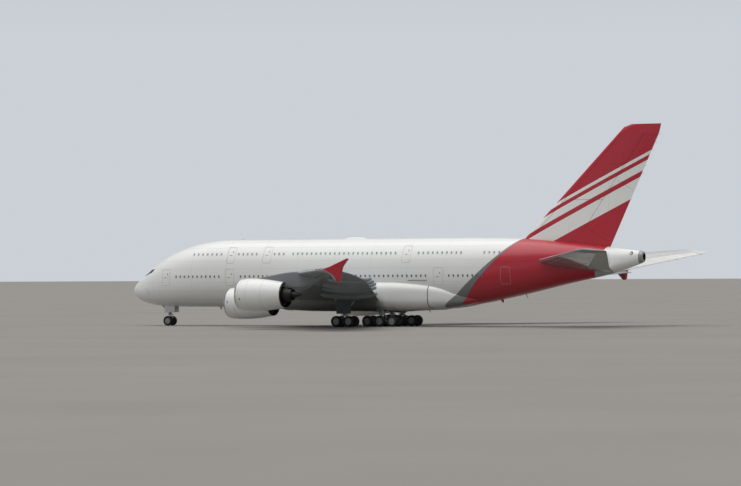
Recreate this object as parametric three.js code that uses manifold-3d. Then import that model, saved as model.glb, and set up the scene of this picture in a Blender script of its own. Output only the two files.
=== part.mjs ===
// A four-engined, double-deck wide body airliner standing on its landing gear, as a 1:2 scale model.
// Every size below is the full-size aircraft's, in metres, and MM turns it into millimetres of model.
// A place is (port, station, up): port to the left wing, station aft from the nose tip, up from the ground.
// In the model +X is port, +Y is aft, +Z is up, and the origin is on the ground under the middle.
import * as THREE from "three";
import { mergeVertices } from "three/addons/utils/BufferGeometryUtils.js";
import Module from "manifold-3d";

const wasm = await Module();
wasm.setup();

// Driving dimensions
const MM = 500; // model millimetres for each full-size metre
const LENGTH = 72.72; // nose tip to the fin's trailing tip
const HEIGHT = 24.09; // ground to the fin's top
const HALF_SPAN = 39.875;
const FIXED_GAP = 0.0008; // between pieces fastened together, 0.4 mm on the model
const CLEAR = 0.016; // round a piece that moves, 8 mm on the model
const HEIGHT_OF_CROWN = 10.8; // top of the fuselage
const HEIGHT_OF_KEEL = 2.39; // underside of the fuselage
const HALF_WIDTH = 3.57; // of the fuselage

// Frame sections: station, keel, crown, half width, and how far up the widest place is
const NOSE_FRAMES = [
  [0.0, 4.02, 4.8, 0.42, 0.5],
  [0.25, 3.74, 5.2, 0.95, 0.5],
  [0.7, 3.4, 5.62, 1.4, 0.5],
  [1.5, 3.02, 6.2, 1.88, 0.48],
  [2.6, 2.72, 6.98, 2.34, 0.47],
  [3.6, 2.57, 7.78, 2.64, 0.46],
  [4.6, 2.49, 8.42, 2.87, 0.45],
  [6.2, 2.43, 9.22, 3.15, 0.44],
  [8.5, 2.4, 10.02, 3.4, 0.43],
  [11.0, HEIGHT_OF_KEEL, 10.56, 3.53, 0.43],
  [14.0, HEIGHT_OF_KEEL, HEIGHT_OF_CROWN, HALF_WIDTH, 0.43],
  [17.5, HEIGHT_OF_KEEL, HEIGHT_OF_CROWN, HALF_WIDTH, 0.43],
];
const CENTRE_FRAMES = [
  [17.5, HEIGHT_OF_KEEL, HEIGHT_OF_CROWN, HALF_WIDTH, 0.43],
  [44.2, HEIGHT_OF_KEEL, HEIGHT_OF_CROWN, HALF_WIDTH, 0.43],
];
const REAR_FRAMES = [
  [44.2, HEIGHT_OF_KEEL, HEIGHT_OF_CROWN, HALF_WIDTH, 0.43],
  [47.0, 2.5, 10.8, 3.56, 0.43],
  [50.0, 2.92, 10.77, 3.47, 0.44],
  [53.0, 3.5, 10.7, 3.28, 0.45],
  [56.0, 4.12, 10.57, 2.98, 0.46],
  [59.0, 4.8, 10.35, 2.58, 0.48],
  [62.0, 5.45, 10.05, 2.12, 0.5],
  [64.5, 5.93, 9.75, 1.72, 0.5],
  [66.4, 6.35, 9.5, 1.42, 0.5],
  [68.4, 6.95, 9.25, 1.08, 0.5],
  [70.1, 7.58, 9.02, 0.72, 0.5],
  [70.4, 7.72, 8.92, 0.6, 0.5],
];
// Belly fairing sections, in the same columns
const BELLY_FRAMES = [
  [20.0, 2.75, 4.3, 2.9, 0.5],
  [21.6, 2.22, 4.9, 3.6, 0.5],
  [24.0, 1.95, 5.55, 3.98, 0.5],
  [28.0, 1.83, 5.8, 4.15, 0.5],
  [38.0, 1.83, 5.84, 4.2, 0.5],
  [41.0, 1.93, 5.7, 4.08, 0.5],
  [43.6, 2.08, 5.46, 3.86, 0.5],
  [45.4, 2.24, 5.05, 3.6, 0.5],
  [46.8, 2.42, 4.4, 3.2, 0.5],
];
const FUSELAGE_ROUNDNESS = 2.25; // 2 is an ellipse, more is squarer
const BELLY_ROUNDNESS = 3.4;
const POINTS_ROUND = 24;

// Flying surfaces. Columns: port (or up, for the fin), leading edge, chord, up (or port), thickness, twist in degrees
const WING_RIBS = [
  [2.9, 21.0, 15.6, 3.9, 0.155, 5.0],
  [9.0, 25.4, 13.7, 4.82, 0.13, 5.0],
  [14.0, 29.1, 12.1, 5.45, 0.11, 5.0],
  [26.0, 37.95, 8.95, 6.2, 0.1, 6.0],
  [39.3, 47.8, 4.0, 6.72, 0.09, 5.5],
];
const TAILPLANE_RIBS = [
  [0.9, 56.3, 10.2, 7.3, 0.1, 7.5],
  [14.5, 68.15, 3.9, 8.95, 0.09, 5.0],
  [15.19, 69.25, 3.0, 9.08, 0.07, 4.5],
];
const FIN_RIBS = [
  [9.3, 53.6, 12.4, 0.0, 0.11, 0.0],
  [23.0, 67.2, 5.25, 0.0, 0.095, 0.0],
  [23.75, 67.95, 4.7, 0.0, 0.08, 0.0],
  [HEIGHT, 68.9, LENGTH - 68.9, 0.0, 0.06, 0.0],
];
const CAMBER = 0.016; // of the wing's chord
const CHORD_STEPS = 7;

// Control surfaces: each hinge line runs between two places on its flying surface, given as
// [port (or up), share of the chord], and down and up are its greatest angles in degrees
const AILERONS = [
  { name: "inner", from: 27.75, to: 31.15 },
  { name: "middle", from: 31.15, to: 34.6 },
  { name: "outer", from: 34.6, to: 38.0 },
];
const AILERON_HINGE = [27.5, 38.2, 0.76]; // the two ribs that set the line, and its share of their chords
const ELEVATOR_HINGE = [3.15, 14.3, 0.7];
const TAIL_PIVOT = { port: 1.2, station: 62.6, up: 7.35, radius: 0.22, play: 0.004 }; // the tailplane tips about this
const RUDDER_HINGE = [11.6, 23.0, 0.69];
const RUDDER_SPLIT = 17.4;
const FLAPS = [
  { name: "inner", from: 6.2, to: 12.2, share: 0.765 },
  { name: "outer", from: 14.75, to: 27.35, share: 0.745 },
];
const FLAP_HINGE_DROP = 1.45; // the flaps turn about a line this far under the middle of the wing's section
const BAR_STEPS = 12; // facets round a control surface's nose and the cove it turns in

// Flap track fairings: port, depth below the skin, the tail's share of the chord, which flap carries the rear half.
// The one between the flaps is the wing's alone.
const TRACK_FAIRINGS = [
  { port: 8.3, depth: 0.95, tail: 1.02, flap: "inner" },
  { port: 12.85, depth: 0.9, tail: 1.05, flap: "none" },
  { port: 17.6, depth: 0.9, tail: 1.08, flap: "outer" },
  { port: 21.6, depth: 0.82, tail: 1.08, flap: "outer" },
  { port: 25.6, depth: 0.74, tail: 1.08, flap: "outer" },
];

// Engines: port, intake lip station, axis height
const ENGINES = [
  { name: "inner", port: 14.9, lip: 22.45, axis: 2.98 },
  { name: "outer", port: 25.7, lip: 30.15, axis: 4.05 },
];
const COWL_LENGTH = 6.1;
const COWL_PROFILE = [
  // aft of the lip, radius: the outside from the lip to the nozzle, then the duct back to the lip
  [0.0, 1.62],
  [0.12, 1.73],
  [0.5, 1.84],
  [1.5, 1.9],
  [3.2, 1.85],
  [COWL_LENGTH, 1.5],
  [COWL_LENGTH, 1.46],
  [3.4, 1.58],
  [1.9, 1.52],
  [0.3, 1.5],
];
const CORE_STEPS = 12;
const SHAFT = { radius: 0.12, hole: 0.124 / Math.cos(Math.PI / CORE_STEPS), depth: 0.5 };
const CORE_PROFILE = [
  [2.05 + SHAFT.depth, 0.0],
  [2.05 + SHAFT.depth, SHAFT.hole],
  [2.05, SHAFT.hole],
  [2.05, 0.62],
  [3.0, 0.98],
  [4.6, 1.06],
  [5.9, 0.94],
  [7.0, 0.66],
  [7.05, 0.42],
  [8.2, 0.05],
  [8.2, 0.0],
];
const SPINNER_PROFILE = [
  [0.85, 0.0],
  [0.9, 0.08],
  [1.5, 0.5],
  [1.88, 0.5],
  [1.88, SHAFT.radius],
  [2.0 + SHAFT.depth, SHAFT.radius],
  [2.0 + SHAFT.depth, 0.0],
];
const VANES = { count: 4, from: 2.6, chord: 0.45, thickness: 0.05 };
// Fan blades: how far aft they reach, their radii, and in degrees how far their front leads and how thick they are
const BLADES = { count: 24, front: 1.52, rear: 1.84, root: 0.44, tip: 1.46, lean: 13, rootWidth: 4, tipWidth: 1.9 };
const ROUND_STEPS = 16;

// Wheels and gear: tyre radius, tyre width and the distance between a pair's middles
const MAIN_TYRE = { radius: 0.7, width: 0.53 };
const NOSE_TYRE = { radius: 0.635, width: 0.455 };
const WHEEL_STEPS = 12;
const FLAT_FOOT = Math.cos(Math.PI / WHEEL_STEPS); // a wheel stands on a flat between two corners
const AXLE_RADIUS = 0.09;
const AXLE_PLAY = 0.004;
const NOSE_GEAR = { station: 4.97, track: 1.05 };
const WING_GEAR = { port: 6.23, station: 33.58, track: 1.35, axles: [-0.85, 0.85] };
const BODY_GEAR = { port: 2.63, station: 36.85, track: 1.53, axles: [-1.7, 0, 1.7] };
const BEAM_RADIUS = 0.17;

// Cargo doors in the starboard side: stations, the hinge's height and the sill's
const CARGO_DOORS = [
  { name: "forward", from: 13.9, to: 17.1, hinge: 5.05, sill: 3.25 },
  { name: "aft", from: 47.1, to: 49.9, hinge: 5.2, sill: 3.4 },
];
const DOOR_THICKNESS = 0.13;

// Paint and metal
const paint = (color, roughness = 0.35, metalness = 0) =>
  new THREE.MeshStandardMaterial({ color, roughness, metalness });
const WHITE = paint(0xe9e9e6);
const RED = paint(0xb5202f);
const WING_GREY = paint(0x8f9498, 0.45);
const DARK_METAL = paint(0x4a4d50, 0.45, 0.8);
const TITANIUM = paint(0x6d6a66, 0.4, 0.9);
const GEAR_GREY = paint(0xb9bcbc, 0.5);
const RUBBER = paint(0x1d1e20, 0.85);

// A place on the aircraft as a point of the model
const place = (port, station, up) =>
  new THREE.Vector3(port * MM, (station - LENGTH / 2) * MM, up * MM);

const aircraft = new THREE.Group();

function addPiece(name, geometry, material) {
  const mesh = new THREE.Mesh(geometry, material);
  mesh.name = name;
  aircraft.add(mesh);
  return mesh;
}

// three.js geometry to a solid that can be cut and joined, and back
function solid(geometry) {
  const bare = geometry.index ? geometry.toNonIndexed() : geometry.clone();
  bare.deleteAttribute("normal");
  bare.deleteAttribute("uv");
  const merged = mergeVertices(bare, 1e-3);
  return new wasm.Manifold(
    new wasm.Mesh({
      numProp: 3,
      vertProperties: merged.attributes.position.array,
      triVerts: new Uint32Array(merged.index.array),
    }),
  );
}

function geometryOf(made) {
  const mesh = made.getMesh();
  const geometry = new THREE.BufferGeometry();
  const numbers = new Float32Array(mesh.numVert * 3);
  for (let i = 0; i < mesh.numVert; i++) {
    numbers.set(mesh.vertProperties.subarray(i * mesh.numProp, i * mesh.numProp + 3), i * 3);
  }
  geometry.setAttribute("position", new THREE.BufferAttribute(numbers, 3));
  geometry.setIndex(new THREE.BufferAttribute(mesh.triVerts, 1));
  geometry.computeVertexNormals();
  return geometry;
}

// The starboard copy of a port piece
function mirrored(geometry) {
  const copy = geometry.clone().scale(-1, 1, 1);
  const index = copy.index.array;
  for (let i = 0; i < index.length; i += 3) {
    [index[i + 1], index[i + 2]] = [index[i + 2], index[i + 1]];
  }
  copy.computeVertexNormals();
  return copy;
}

const SIDES = [
  ["left", (geometry) => geometry],
  ["right", mirrored],
];

// A closed skin over rings of points, each ring in the same order, with a flat lid at both ends. The two halves
// of a ring are split into triangles as mirror images, so that a piece and its starboard copy fit alike.
function loft(rings) {
  const around = rings[0].length;
  const points = rings.flat();
  const faces = [];
  for (let ring = 0; ring < rings.length - 1; ring++) {
    for (let i = 0; i < around; i++) {
      const a = ring * around + i;
      const b = ring * around + ((i + 1) % around);
      if (i < (around - 1) / 2) faces.push(a, b, b + around, a, b + around, a + around);
      else faces.push(a, b, a + around, b, b + around, a + around);
    }
  }
  [0, rings.length - 1].forEach((ring) => {
    const centre = new THREE.Vector3();
    rings[ring].forEach((point) => centre.addScaledVector(point, 1 / around));
    points.push(centre);
    for (let i = 0; i < around; i++) {
      const a = ring * around + i;
      const b = ring * around + ((i + 1) % around);
      faces.push(...(ring ? [a, b, points.length - 1] : [b, a, points.length - 1]));
    }
  });
  const geometry = new THREE.BufferGeometry().setFromPoints(points);
  geometry.setIndex(faces);
  if (solid(geometry).volume() < 0) {
    for (let i = 0; i < faces.length; i += 3) {
      [faces[i + 1], faces[i + 2]] = [faces[i + 2], faces[i + 1]];
    }
    geometry.setIndex(faces);
  }
  geometry.computeVertexNormals();
  return geometry;
}

// A body of frames, such as the fuselage, grown outwards all round by a little
function hull(frames, roundness, grow = 0) {
  const rings = frames.map(([station, keel, crown, half, widest]) => {
    const middle = keel + (crown - keel) * widest;
    const ring = [];
    for (let i = 0; i < POINTS_ROUND; i++) {
      const angle = (2 * Math.PI * i) / POINTS_ROUND - Math.PI / 2;
      const across = Math.sign(Math.cos(angle)) * Math.abs(Math.cos(angle)) ** (2 / roundness);
      const along = Math.sign(Math.sin(angle)) * Math.abs(Math.sin(angle)) ** (2 / roundness);
      const reach = along > 0 ? crown - middle : middle - keel;
      ring.push(place(across * (half + grow), station, middle + along * (reach + grow)));
    }
    return ring;
  });
  return loft(rings);
}

// A flying surface's section at one place along it, between two rows of its table
function ribAt(ribs, at) {
  let i = 0;
  while (i < ribs.length - 2 && at > ribs[i + 1][0]) i++;
  const share = (at - ribs[i][0]) / (ribs[i + 1][0] - ribs[i][0]);
  return ribs[i].map((value, column) => value + (ribs[i + 1][column] - value) * share);
}

// How far above the chord line a skin is, as a share of the chord: side is 1 on top and -1 below
function skin(share, thickness, camber, side) {
  const curve =
    0.2969 * Math.sqrt(share) - 0.126 * share - 0.3516 * share ** 2 + 0.2843 * share ** 3 - 0.1015 * share ** 4;
  return camber * Math.sin(Math.PI * share) + side * (5 * thickness * curve + 0.0022 * share);
}

// A point on a flying surface. The fin stands up, so its ribs are read with up and port swapped
function surfacePoint(rib, share, height, upright) {
  const [at, leading, chord, level, , twist] = rib;
  const angle = THREE.MathUtils.degToRad(twist);
  const aft = (share - 0.4) * chord;
  const station = leading + 0.4 * chord + aft * Math.cos(angle) + height * chord * Math.sin(angle);
  const up = level + height * chord * Math.cos(angle) - aft * Math.sin(angle);
  return upright ? place(up, station, at) : place(at, station, up);
}

function flyingSurface(ribs, camber = 0, upright = false, grow = 0) {
  const rings = ribs.map((rib) => {
    const ring = [];
    for (let i = CHORD_STEPS; i > -CHORD_STEPS; i--) {
      const share = (1 - Math.cos((Math.PI * Math.abs(i)) / CHORD_STEPS)) / 2;
      const side = Math.sign(i);
      const forward = i ? 0 : grow / rib[2];
      ring.push(
        surfacePoint(rib, share - forward, skin(share, rib[4], camber, side) + (side * grow) / rib[2], upright),
      );
    }
    ring.push(surfacePoint(rib, 1, skin(1, rib[4], camber, -1) - grow / rib[2], upright));
    return ring;
  });
  return loft(rings);
}

// The frame of a hinge line: along it, aft across it (or up, for a line that itself runs aft), and square to both
function hingeFrame(start, end) {
  const along = end.clone().sub(start).normalize();
  const aft = new THREE.Vector3(0, 1, 0);
  if (Math.abs(along.y) > 0.9) aft.set(0, 0, 1);
  aft.addScaledVector(along, -aft.dot(along)).normalize();
  const third = new THREE.Vector3().crossVectors(along, aft);
  return new THREE.Matrix4().makeBasis(along, aft, third).setPosition(start);
}

// A block behind a hinge line, from its start to its end, with square ends
function blockBehind(start, end, inset = 0, forward = 0) {
  const length = start.distanceTo(end) - 2 * inset * MM;
  const depth = 7 * MM;
  const block = new THREE.BoxGeometry(length, depth + forward * MM, 5 * MM);
  block.translate(length / 2 + inset * MM, depth / 2 - (forward * MM) / 2, 0);
  return solid(block.applyMatrix4(hingeFrame(start, end)));
}

// A round bar along a hinge line that tapers from one radius to the other
function roundBar(start, end, radiusStart, radiusEnd, inset = 0, steps = BAR_STEPS) {
  const length = start.distanceTo(end) - 2 * inset * MM;
  const bar = new THREE.CylinderGeometry(radiusEnd, radiusStart, length, steps);
  bar.rotateZ(-Math.PI / 2).translate(length / 2 + inset * MM, 0, 0);
  return solid(bar.applyMatrix4(hingeFrame(start, end)));
}

// Where a hinge line crosses a rib, in the middle of the section, and half the thickness there
function hingeStop(ribs, at, share, camber, upright) {
  const rib = ribAt(ribs, at);
  const half = ((skin(share, rib[4], camber, 1) - skin(share, rib[4], camber, -1)) / 2) * rib[2];
  return { point: surfacePoint(rib, share, camber * Math.sin(Math.PI * share), upright), half };
}

// A control surface has a round nose on its hinge line, and turns in an open cove of the flying surface
function controlSurface(whole, start, end) {
  return whole.intersect(
    blockBehind(start.point, end.point, CLEAR).add(
      roundBar(start.point, end.point, start.half * MM, end.half * MM, CLEAR),
    ),
  );
}

function withCove(whole, start, end) {
  const cove = [start.half, end.half].map((half) => ((half + CLEAR) * MM) / Math.cos(Math.PI / BAR_STEPS));
  return whole.subtract(blockBehind(start.point, end.point).add(roundBar(start.point, end.point, ...cove)));
}

// A point on the straight line between two hinge stops, for a surface that uses part of the line
function alongHinge(stops, ribsFrom, ribsTo, at) {
  const share = (at - ribsFrom) / (ribsTo - ribsFrom);
  return {
    point: stops[0].point.clone().lerp(stops[1].point, share),
    half: stops[0].half + (stops[1].half - stops[0].half) * share,
  };
}

// Fuselage, in the three sections that are joined round, and the fairing under the wing
const fuselageSections = {
  nose_fuselage: NOSE_FRAMES,
  centre_fuselage: CENTRE_FRAMES,
  rear_fuselage: REAR_FRAMES,
};
const allFrames = [...NOSE_FRAMES, ...CENTRE_FRAMES.slice(1), ...REAR_FRAMES.slice(1)];
const fuselageGrown = solid(hull(allFrames, FUSELAGE_ROUNDNESS, FIXED_GAP));
const fuselageInner = solid(hull(allFrames, FUSELAGE_ROUNDNESS, -DOOR_THICKNESS));
const pocketFloor = solid(hull(allFrames, FUSELAGE_ROUNDNESS, -DOOR_THICKNESS - CLEAR));
const fuselageWhole = solid(hull(allFrames, FUSELAGE_ROUNDNESS));
const bellyWhole = solid(hull(BELLY_FRAMES, BELLY_ROUNDNESS));
const bellyGrown = solid(hull(BELLY_FRAMES, BELLY_ROUNDNESS, FIXED_GAP));

// A slab square to the fuselage between two stations
function slab(from, to) {
  const box = new THREE.BoxGeometry(12 * MM, (to - from) * MM, 14 * MM);
  const middle = place(0, (from + to) / 2, 6);
  return solid(box.translate(middle.x, middle.y, middle.z));
}

// Half the fuselage's width at a place on its side, found from its frames
function sideOf(station, up) {
  const i = Math.max(0, allFrames.findIndex((frame) => frame[0] > station) - 1);
  const share = (station - allFrames[i][0]) / (allFrames[i + 1][0] - allFrames[i][0]);
  const [, keel, crown, half, widest] = allFrames[i].map(
    (value, column) => value + (allFrames[i + 1][column] - value) * share,
  );
  const middle = keel + (crown - keel) * widest;
  const reach = up > middle ? crown - middle : middle - keel;
  return half * (1 - (Math.abs(up - middle) / reach) ** FUSELAGE_ROUNDNESS) ** (1 / FUSELAGE_ROUNDNESS);
}

// A cargo door is a piece of the skin inside a round bar about its top hinge, and its pocket is the same and bigger
function cargoDoor({ from, to, hinge, sill }) {
  const [start, end] = [from, to].map((station) => place(-sideOf(station, hinge), station, hinge));
  const reach = Math.hypot(sideOf(from, sill) - sideOf(from, hinge), hinge - sill);
  const cutter = (grow) => {
    const radius = (reach + grow) * MM;
    const below = new THREE.BoxGeometry(6 * MM, 8 * MM, 4 * MM);
    const centre = place(-HALF_WIDTH, (from + to) / 2, hinge - 2 + grow);
    return roundBar(start, end, radius, radius, -grow, 40).intersect(
      solid(below.translate(centre.x, centre.y, centre.z)),
    );
  };
  return {
    panel: fuselageWhole.intersect(cutter(-CLEAR)).subtract(fuselageInner),
    pocket: cutter(0).subtract(pocketFloor),
  };
}

// The pin that a half of the tailplane tips on, or with play, its hole in the fuselage
function tailPin(play) {
  const { port, station, up, radius } = TAIL_PIVOT;
  const reach = play ? (radius + play) / Math.cos(Math.PI / 12) : radius;
  return strut([port - 3 * play, station, up], [2.9, station, up], reach, 12);
}

const tailHoles = tailPin(TAIL_PIVOT.play).add(solid(mirrored(geometryOf(tailPin(TAIL_PIVOT.play)))));
const doors = CARGO_DOORS.map((door) => ({ name: door.name, ...cargoDoor(door) }));
Object.entries(fuselageSections).forEach(([name, frames], i, sections) => {
  let section = solid(hull(frames, FUSELAGE_ROUNDNESS));
  if (i < sections.length - 1) {
    const end = frames.at(-1)[0];
    section = section.subtract(slab(end - FIXED_GAP, end + 1));
  }
  [...doors.map((door) => door.pocket), tailHoles].forEach((hole) => {
    section = section.subtract(hole);
  });
  addPiece(name, geometryOf(section), WHITE);
});
doors.forEach((door) => addPiece(`${door.name}_cargo_door`, geometryOf(door.panel), WHITE));

// Wing: one side is made, cut for its flaps and ailerons, and mirrored
let wing = solid(flyingSurface(WING_RIBS, CAMBER)).subtract(bellyGrown).subtract(fuselageGrown);
const wingGrown = solid(flyingSurface(WING_RIBS, CAMBER, false, FIXED_GAP));
addPiece("belly_fairing", geometryOf(bellyWhole.subtract(fuselageGrown)), WHITE);

const aileronStops = AILERON_HINGE.slice(0, 2).map((at) => hingeStop(WING_RIBS, at, AILERON_HINGE[2], CAMBER));
const aileronStop = (at) => alongHinge(aileronStops, ...AILERON_HINGE.slice(0, 2), at);
const ailerons = AILERONS.map(({ name, from, to }) => ({
  name: `${name}_aileron`,
  made: controlSurface(wing, aileronStop(from), aileronStop(to)),
}));
wing = withCove(wing, aileronStop(AILERONS[0].from), aileronStop(AILERONS.at(-1).to));

// A canoe-shaped fairing under the wing's skin, from its nose to its tail
function trackFairing({ port, depth, tail: tailShare, flap }) {
  const { share } = FLAPS.find(({ name }) => name === flap) ?? FLAPS[0];
  const rib = ribAt(WING_RIBS, port);
  const front = rib[1] + (share - 0.3) * rib[2];
  const tail = rib[1] + tailShare * rib[2];
  const bottom = surfacePoint(rib, share, skin(share, rib[4], CAMBER, -1)).z / MM;
  const rows = [0, 0.15, 0.45, 0.8, 1].map((step) => {
    const width = Math.max(0.06, 0.42 * Math.sin(Math.PI * Math.min(1, step * 0.92 + 0.06)));
    const station = front + (tail - front) * step;
    const drop = depth * Math.sin(Math.PI * (0.12 + step * 0.8)) ** 0.7;
    const ring = [];
    for (let i = 0; i < 6; i++) {
      const angle = (2 * Math.PI * i) / 6 - Math.PI / 2;
      ring.push(place(port + width * Math.cos(angle), station, bottom + 0.3 - drop * (0.5 - 0.5 * Math.sin(angle))));
    }
    return ring;
  });
  return solid(loft(rows));
}

TRACK_FAIRINGS.forEach((fairing) => {
  wing = wing.add(trackFairing(fairing));
});
const flaps = FLAPS.map(({ name, from, to, share }) => {
  const [start, end] = [from, to].map((at) => hingeStop(WING_RIBS, at, share, CAMBER).point);
  const made = wing.intersect(blockBehind(start, end, CLEAR, -CLEAR));
  wing = wing.subtract(blockBehind(start, end));
  return { name: `${name}_flap`, made, start, end };
});

// Tip fence: an arrowhead standing up and down from the wing's tip
const FENCE_OUTLINE = [
  [48.3, 6.88],
  [49.6, 7.26],
  [51.72, 8.15],
  [51.9, 8.1],
  [51.2, 7.2],
  [51.05, 6.7],
  [50.9, 5.65],
  [50.62, 5.5],
  [50.35, 5.6],
  [49.6, 6.42],
];
function tipFence() {
  const shape = new THREE.Shape(FENCE_OUTLINE.map(([station, up]) => new THREE.Vector2(station * MM, up * MM)));
  const bevel = 0.09 * MM;
  const root = 39.3 + FIXED_GAP * 2;
  const depth = (HALF_SPAN - root) * MM - 2 * bevel;
  const fence = new THREE.ExtrudeGeometry(shape, {
    depth,
    bevelEnabled: true,
    bevelThickness: bevel,
    bevelSize: bevel,
    bevelOffset: -bevel,
    bevelSegments: 1,
  });
  // The outline is drawn in station and up, and its depth goes out to port
  const turn = new THREE.Matrix4().set(0, 0, 1, 0, 1, 0, 0, 0, 0, 1, 0, 0, 0, 0, 0, 1);
  fence.applyMatrix4(turn).translate(root * MM + bevel, (-LENGTH / 2) * MM, 0);
  return geometryOf(solid(fence));
}

// Engines, the same four times
const lathed = (profile, steps = ROUND_STEPS) => {
  const points = profile.map(([aft, radius]) => new THREE.Vector2(radius * MM, aft * MM));
  return new THREE.LatheGeometry(points, steps);
};
const closedProfile = (profile) => [...profile, profile[0]];
function outward(geometry) {
  const made = solid(geometry);
  if (made.volume() >= 0) return made;
  const flipped = geometry.clone();
  const index = flipped.index.array;
  for (let i = 0; i < index.length; i += 3) {
    [index[i + 1], index[i + 2]] = [index[i + 2], index[i + 1]];
  }
  return solid(flipped);
}
const cowl = outward(lathed(closedProfile(COWL_PROFILE)));
const cowlGrown = outward(
  lathed(
    closedProfile(
      COWL_PROFILE.map(([aft, radius], i) => [aft, radius + (i < 6 ? FIXED_GAP : -FIXED_GAP)]),
    ),
  ),
);

// The core with its exhaust plug, held in the cowl by straight vanes
function engineCore() {
  let core = outward(lathed(CORE_PROFILE, CORE_STEPS));
  for (let i = 0; i < VANES.count; i++) {
    const vane = new THREE.BoxGeometry(VANES.thickness * MM, VANES.chord * MM, 1.1 * MM);
    vane.translate(0, (VANES.from + VANES.chord / 2) * MM, 1.15 * MM);
    core = core.add(solid(vane.rotateY((2 * Math.PI * (i + 0.5)) / VANES.count)));
  }
  return core.subtract(cowlGrown);
}

// The fan: a spinner, hub and shaft with a wheel of blades, whose front edges lean ahead of their rear edges
function engineFan() {
  let made = outward(lathed(SPINNER_PROFILE, BLADES.count / 2));
  for (let i = 0; i < BLADES.count; i++) {
    const section = (radius, degrees) =>
      [
        [BLADES.front, BLADES.lean, -1],
        [BLADES.front, BLADES.lean, 1],
        [BLADES.rear, 0, 1],
        [BLADES.rear, 0, -1],
      ].map(([aft, lean, side]) => {
        const angle = THREE.MathUtils.degToRad((360 * i) / BLADES.count + lean + (side * degrees) / 2);
        return new THREE.Vector3(Math.cos(angle) * radius * MM, aft * MM, Math.sin(angle) * radius * MM);
      });
    made = made.add(solid(loft([section(BLADES.root, BLADES.rootWidth), section(BLADES.tip, BLADES.tipWidth)])));
  }
  return made;
}

// The pylon, from the top of the cowl back under the wing
function pylon({ port, lip, axis }) {
  const rib = ribAt(WING_RIBS, port);
  const [, leading, chord] = rib;
  const under = (share) => surfacePoint(rib, share, skin(share, rib[4], CAMBER, -1)).z / MM;
  const outline = [
    [lip + 1.9, axis + 1.8],
    [lip + 3.4, axis + 2.12],
    [leading + 0.01 * chord, under(0.1) + 0.6],
    [leading + 0.3 * chord, under(0.3) + 0.3],
    [leading + 0.36 * chord, under(0.36) + 0.1],
    [leading + 0.3 * chord, under(0.3) - 0.45],
    [lip + 7.4, axis + 0.75],
    [lip + 3.2, axis + 0.9],
    [lip + 1.9, axis + 1.4],
  ];
  const shape = new THREE.Shape(outline.map(([station, up]) => new THREE.Vector2(station * MM, up * MM)));
  const bevel = 0.1 * MM;
  const width = 0.62 * MM;
  const plate = new THREE.ExtrudeGeometry(shape, {
    depth: width - 2 * bevel,
    bevelEnabled: true,
    bevelThickness: bevel,
    bevelSize: bevel,
    bevelOffset: -bevel,
    bevelSegments: 1,
  });
  const turn = new THREE.Matrix4().set(0, 0, 1, 0, 1, 0, 0, 0, 0, 1, 0, 0, 0, 0, 0, 1);
  plate.applyMatrix4(turn).translate(port * MM - width / 2 + bevel, (-LENGTH / 2) * MM, 0);
  return solid(plate);
}

const core = engineCore();
const coreGrown = outward(
  lathed([[2.05, 0], ...CORE_PROFILE.slice(3).map(([aft, radius]) => [aft, radius && radius + FIXED_GAP])], CORE_STEPS),
);
const fan = geometryOf(engineFan());
const atEngine = (geometry, { port, lip, axis }) => {
  const at = place(port, lip, axis);
  return geometry.clone().translate(at.x, at.y, at.z);
};
const pylons = ENGINES.map((engine) => {
  const holes = [cowlGrown, coreGrown].map((made) => solid(atEngine(geometryOf(made), engine)));
  const vaneSlots = solid(atEngine(geometryOf(core), engine));
  return {
    name: `${engine.name}_pylon`,
    made: pylon(engine).subtract(wingGrown).subtract(holes[0]).subtract(holes[1]).subtract(vaneSlots),
  };
});

SIDES.forEach(([side, turned]) => {
  addPiece(`wing_${side}`, turned(geometryOf(wing)), WING_GREY);
  addPiece(`tip_fence_${side}`, turned(tipFence()), RED);
  [...ailerons, ...flaps].forEach(({ name, made }) => {
    addPiece(`${name}_${side}`, turned(geometryOf(made)), WING_GREY);
  });
  pylons.forEach(({ name, made }) => addPiece(`${name}_${side}`, turned(geometryOf(made)), WING_GREY));
  ENGINES.forEach((engine) => {
    const at = place(side === "left" ? engine.port : -engine.port, engine.lip, engine.axis);
    [
      ["cowl", geometryOf(cowl), WHITE],
      ["core", geometryOf(core), TITANIUM],
      ["fan", fan, DARK_METAL],
    ].forEach(([piece, geometry, material]) => {
      addPiece(`${engine.name}_${piece}_${side}`, geometry, material).position.copy(at);
    });
  });
});

// Tailplane: its root stays clear of the fuselage as it tips, and an elevator hangs on each half
const rootWall = solid(
  loft(
    [4, 12].map((up) =>
      [...REAR_FRAMES.map(([station, , , half]) => [station, half + 0.07]), [71, 0.6], [71, -3], [44.2, -3]].map(
        ([station, port]) => place(port, station, up),
      ),
    ),
  ),
);
const tailplane = solid(flyingSurface(TAILPLANE_RIBS)).subtract(rootWall).add(tailPin(0));
const elevatorStops = ELEVATOR_HINGE.slice(0, 2).map((at) => hingeStop(TAILPLANE_RIBS, at, ELEVATOR_HINGE[2], 0));
SIDES.forEach(([side, turned]) => {
  addPiece(`stabiliser_${side}`, turned(geometryOf(withCove(tailplane, ...elevatorStops))), WHITE);
  addPiece(`elevator_${side}`, turned(geometryOf(controlSurface(tailplane, ...elevatorStops))), WHITE);
});

// Fin with a rudder in two parts
const finWhole = solid(flyingSurface(FIN_RIBS, 0, true)).subtract(fuselageGrown);
const rudderStops = RUDDER_HINGE.slice(0, 2).map((at) => hingeStop(FIN_RIBS, at, RUDDER_HINGE[2], 0, true));
const split = alongHinge(rudderStops, ...RUDDER_HINGE.slice(0, 2), RUDDER_SPLIT);
addPiece("fin", geometryOf(withCove(finWhole, ...rudderStops)), RED);
addPiece("upper_rudder", geometryOf(controlSurface(finWhole, split, rudderStops[1])), RED);
addPiece("lower_rudder", geometryOf(controlSurface(finWhole, rudderStops[0], split)), RED);

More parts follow.
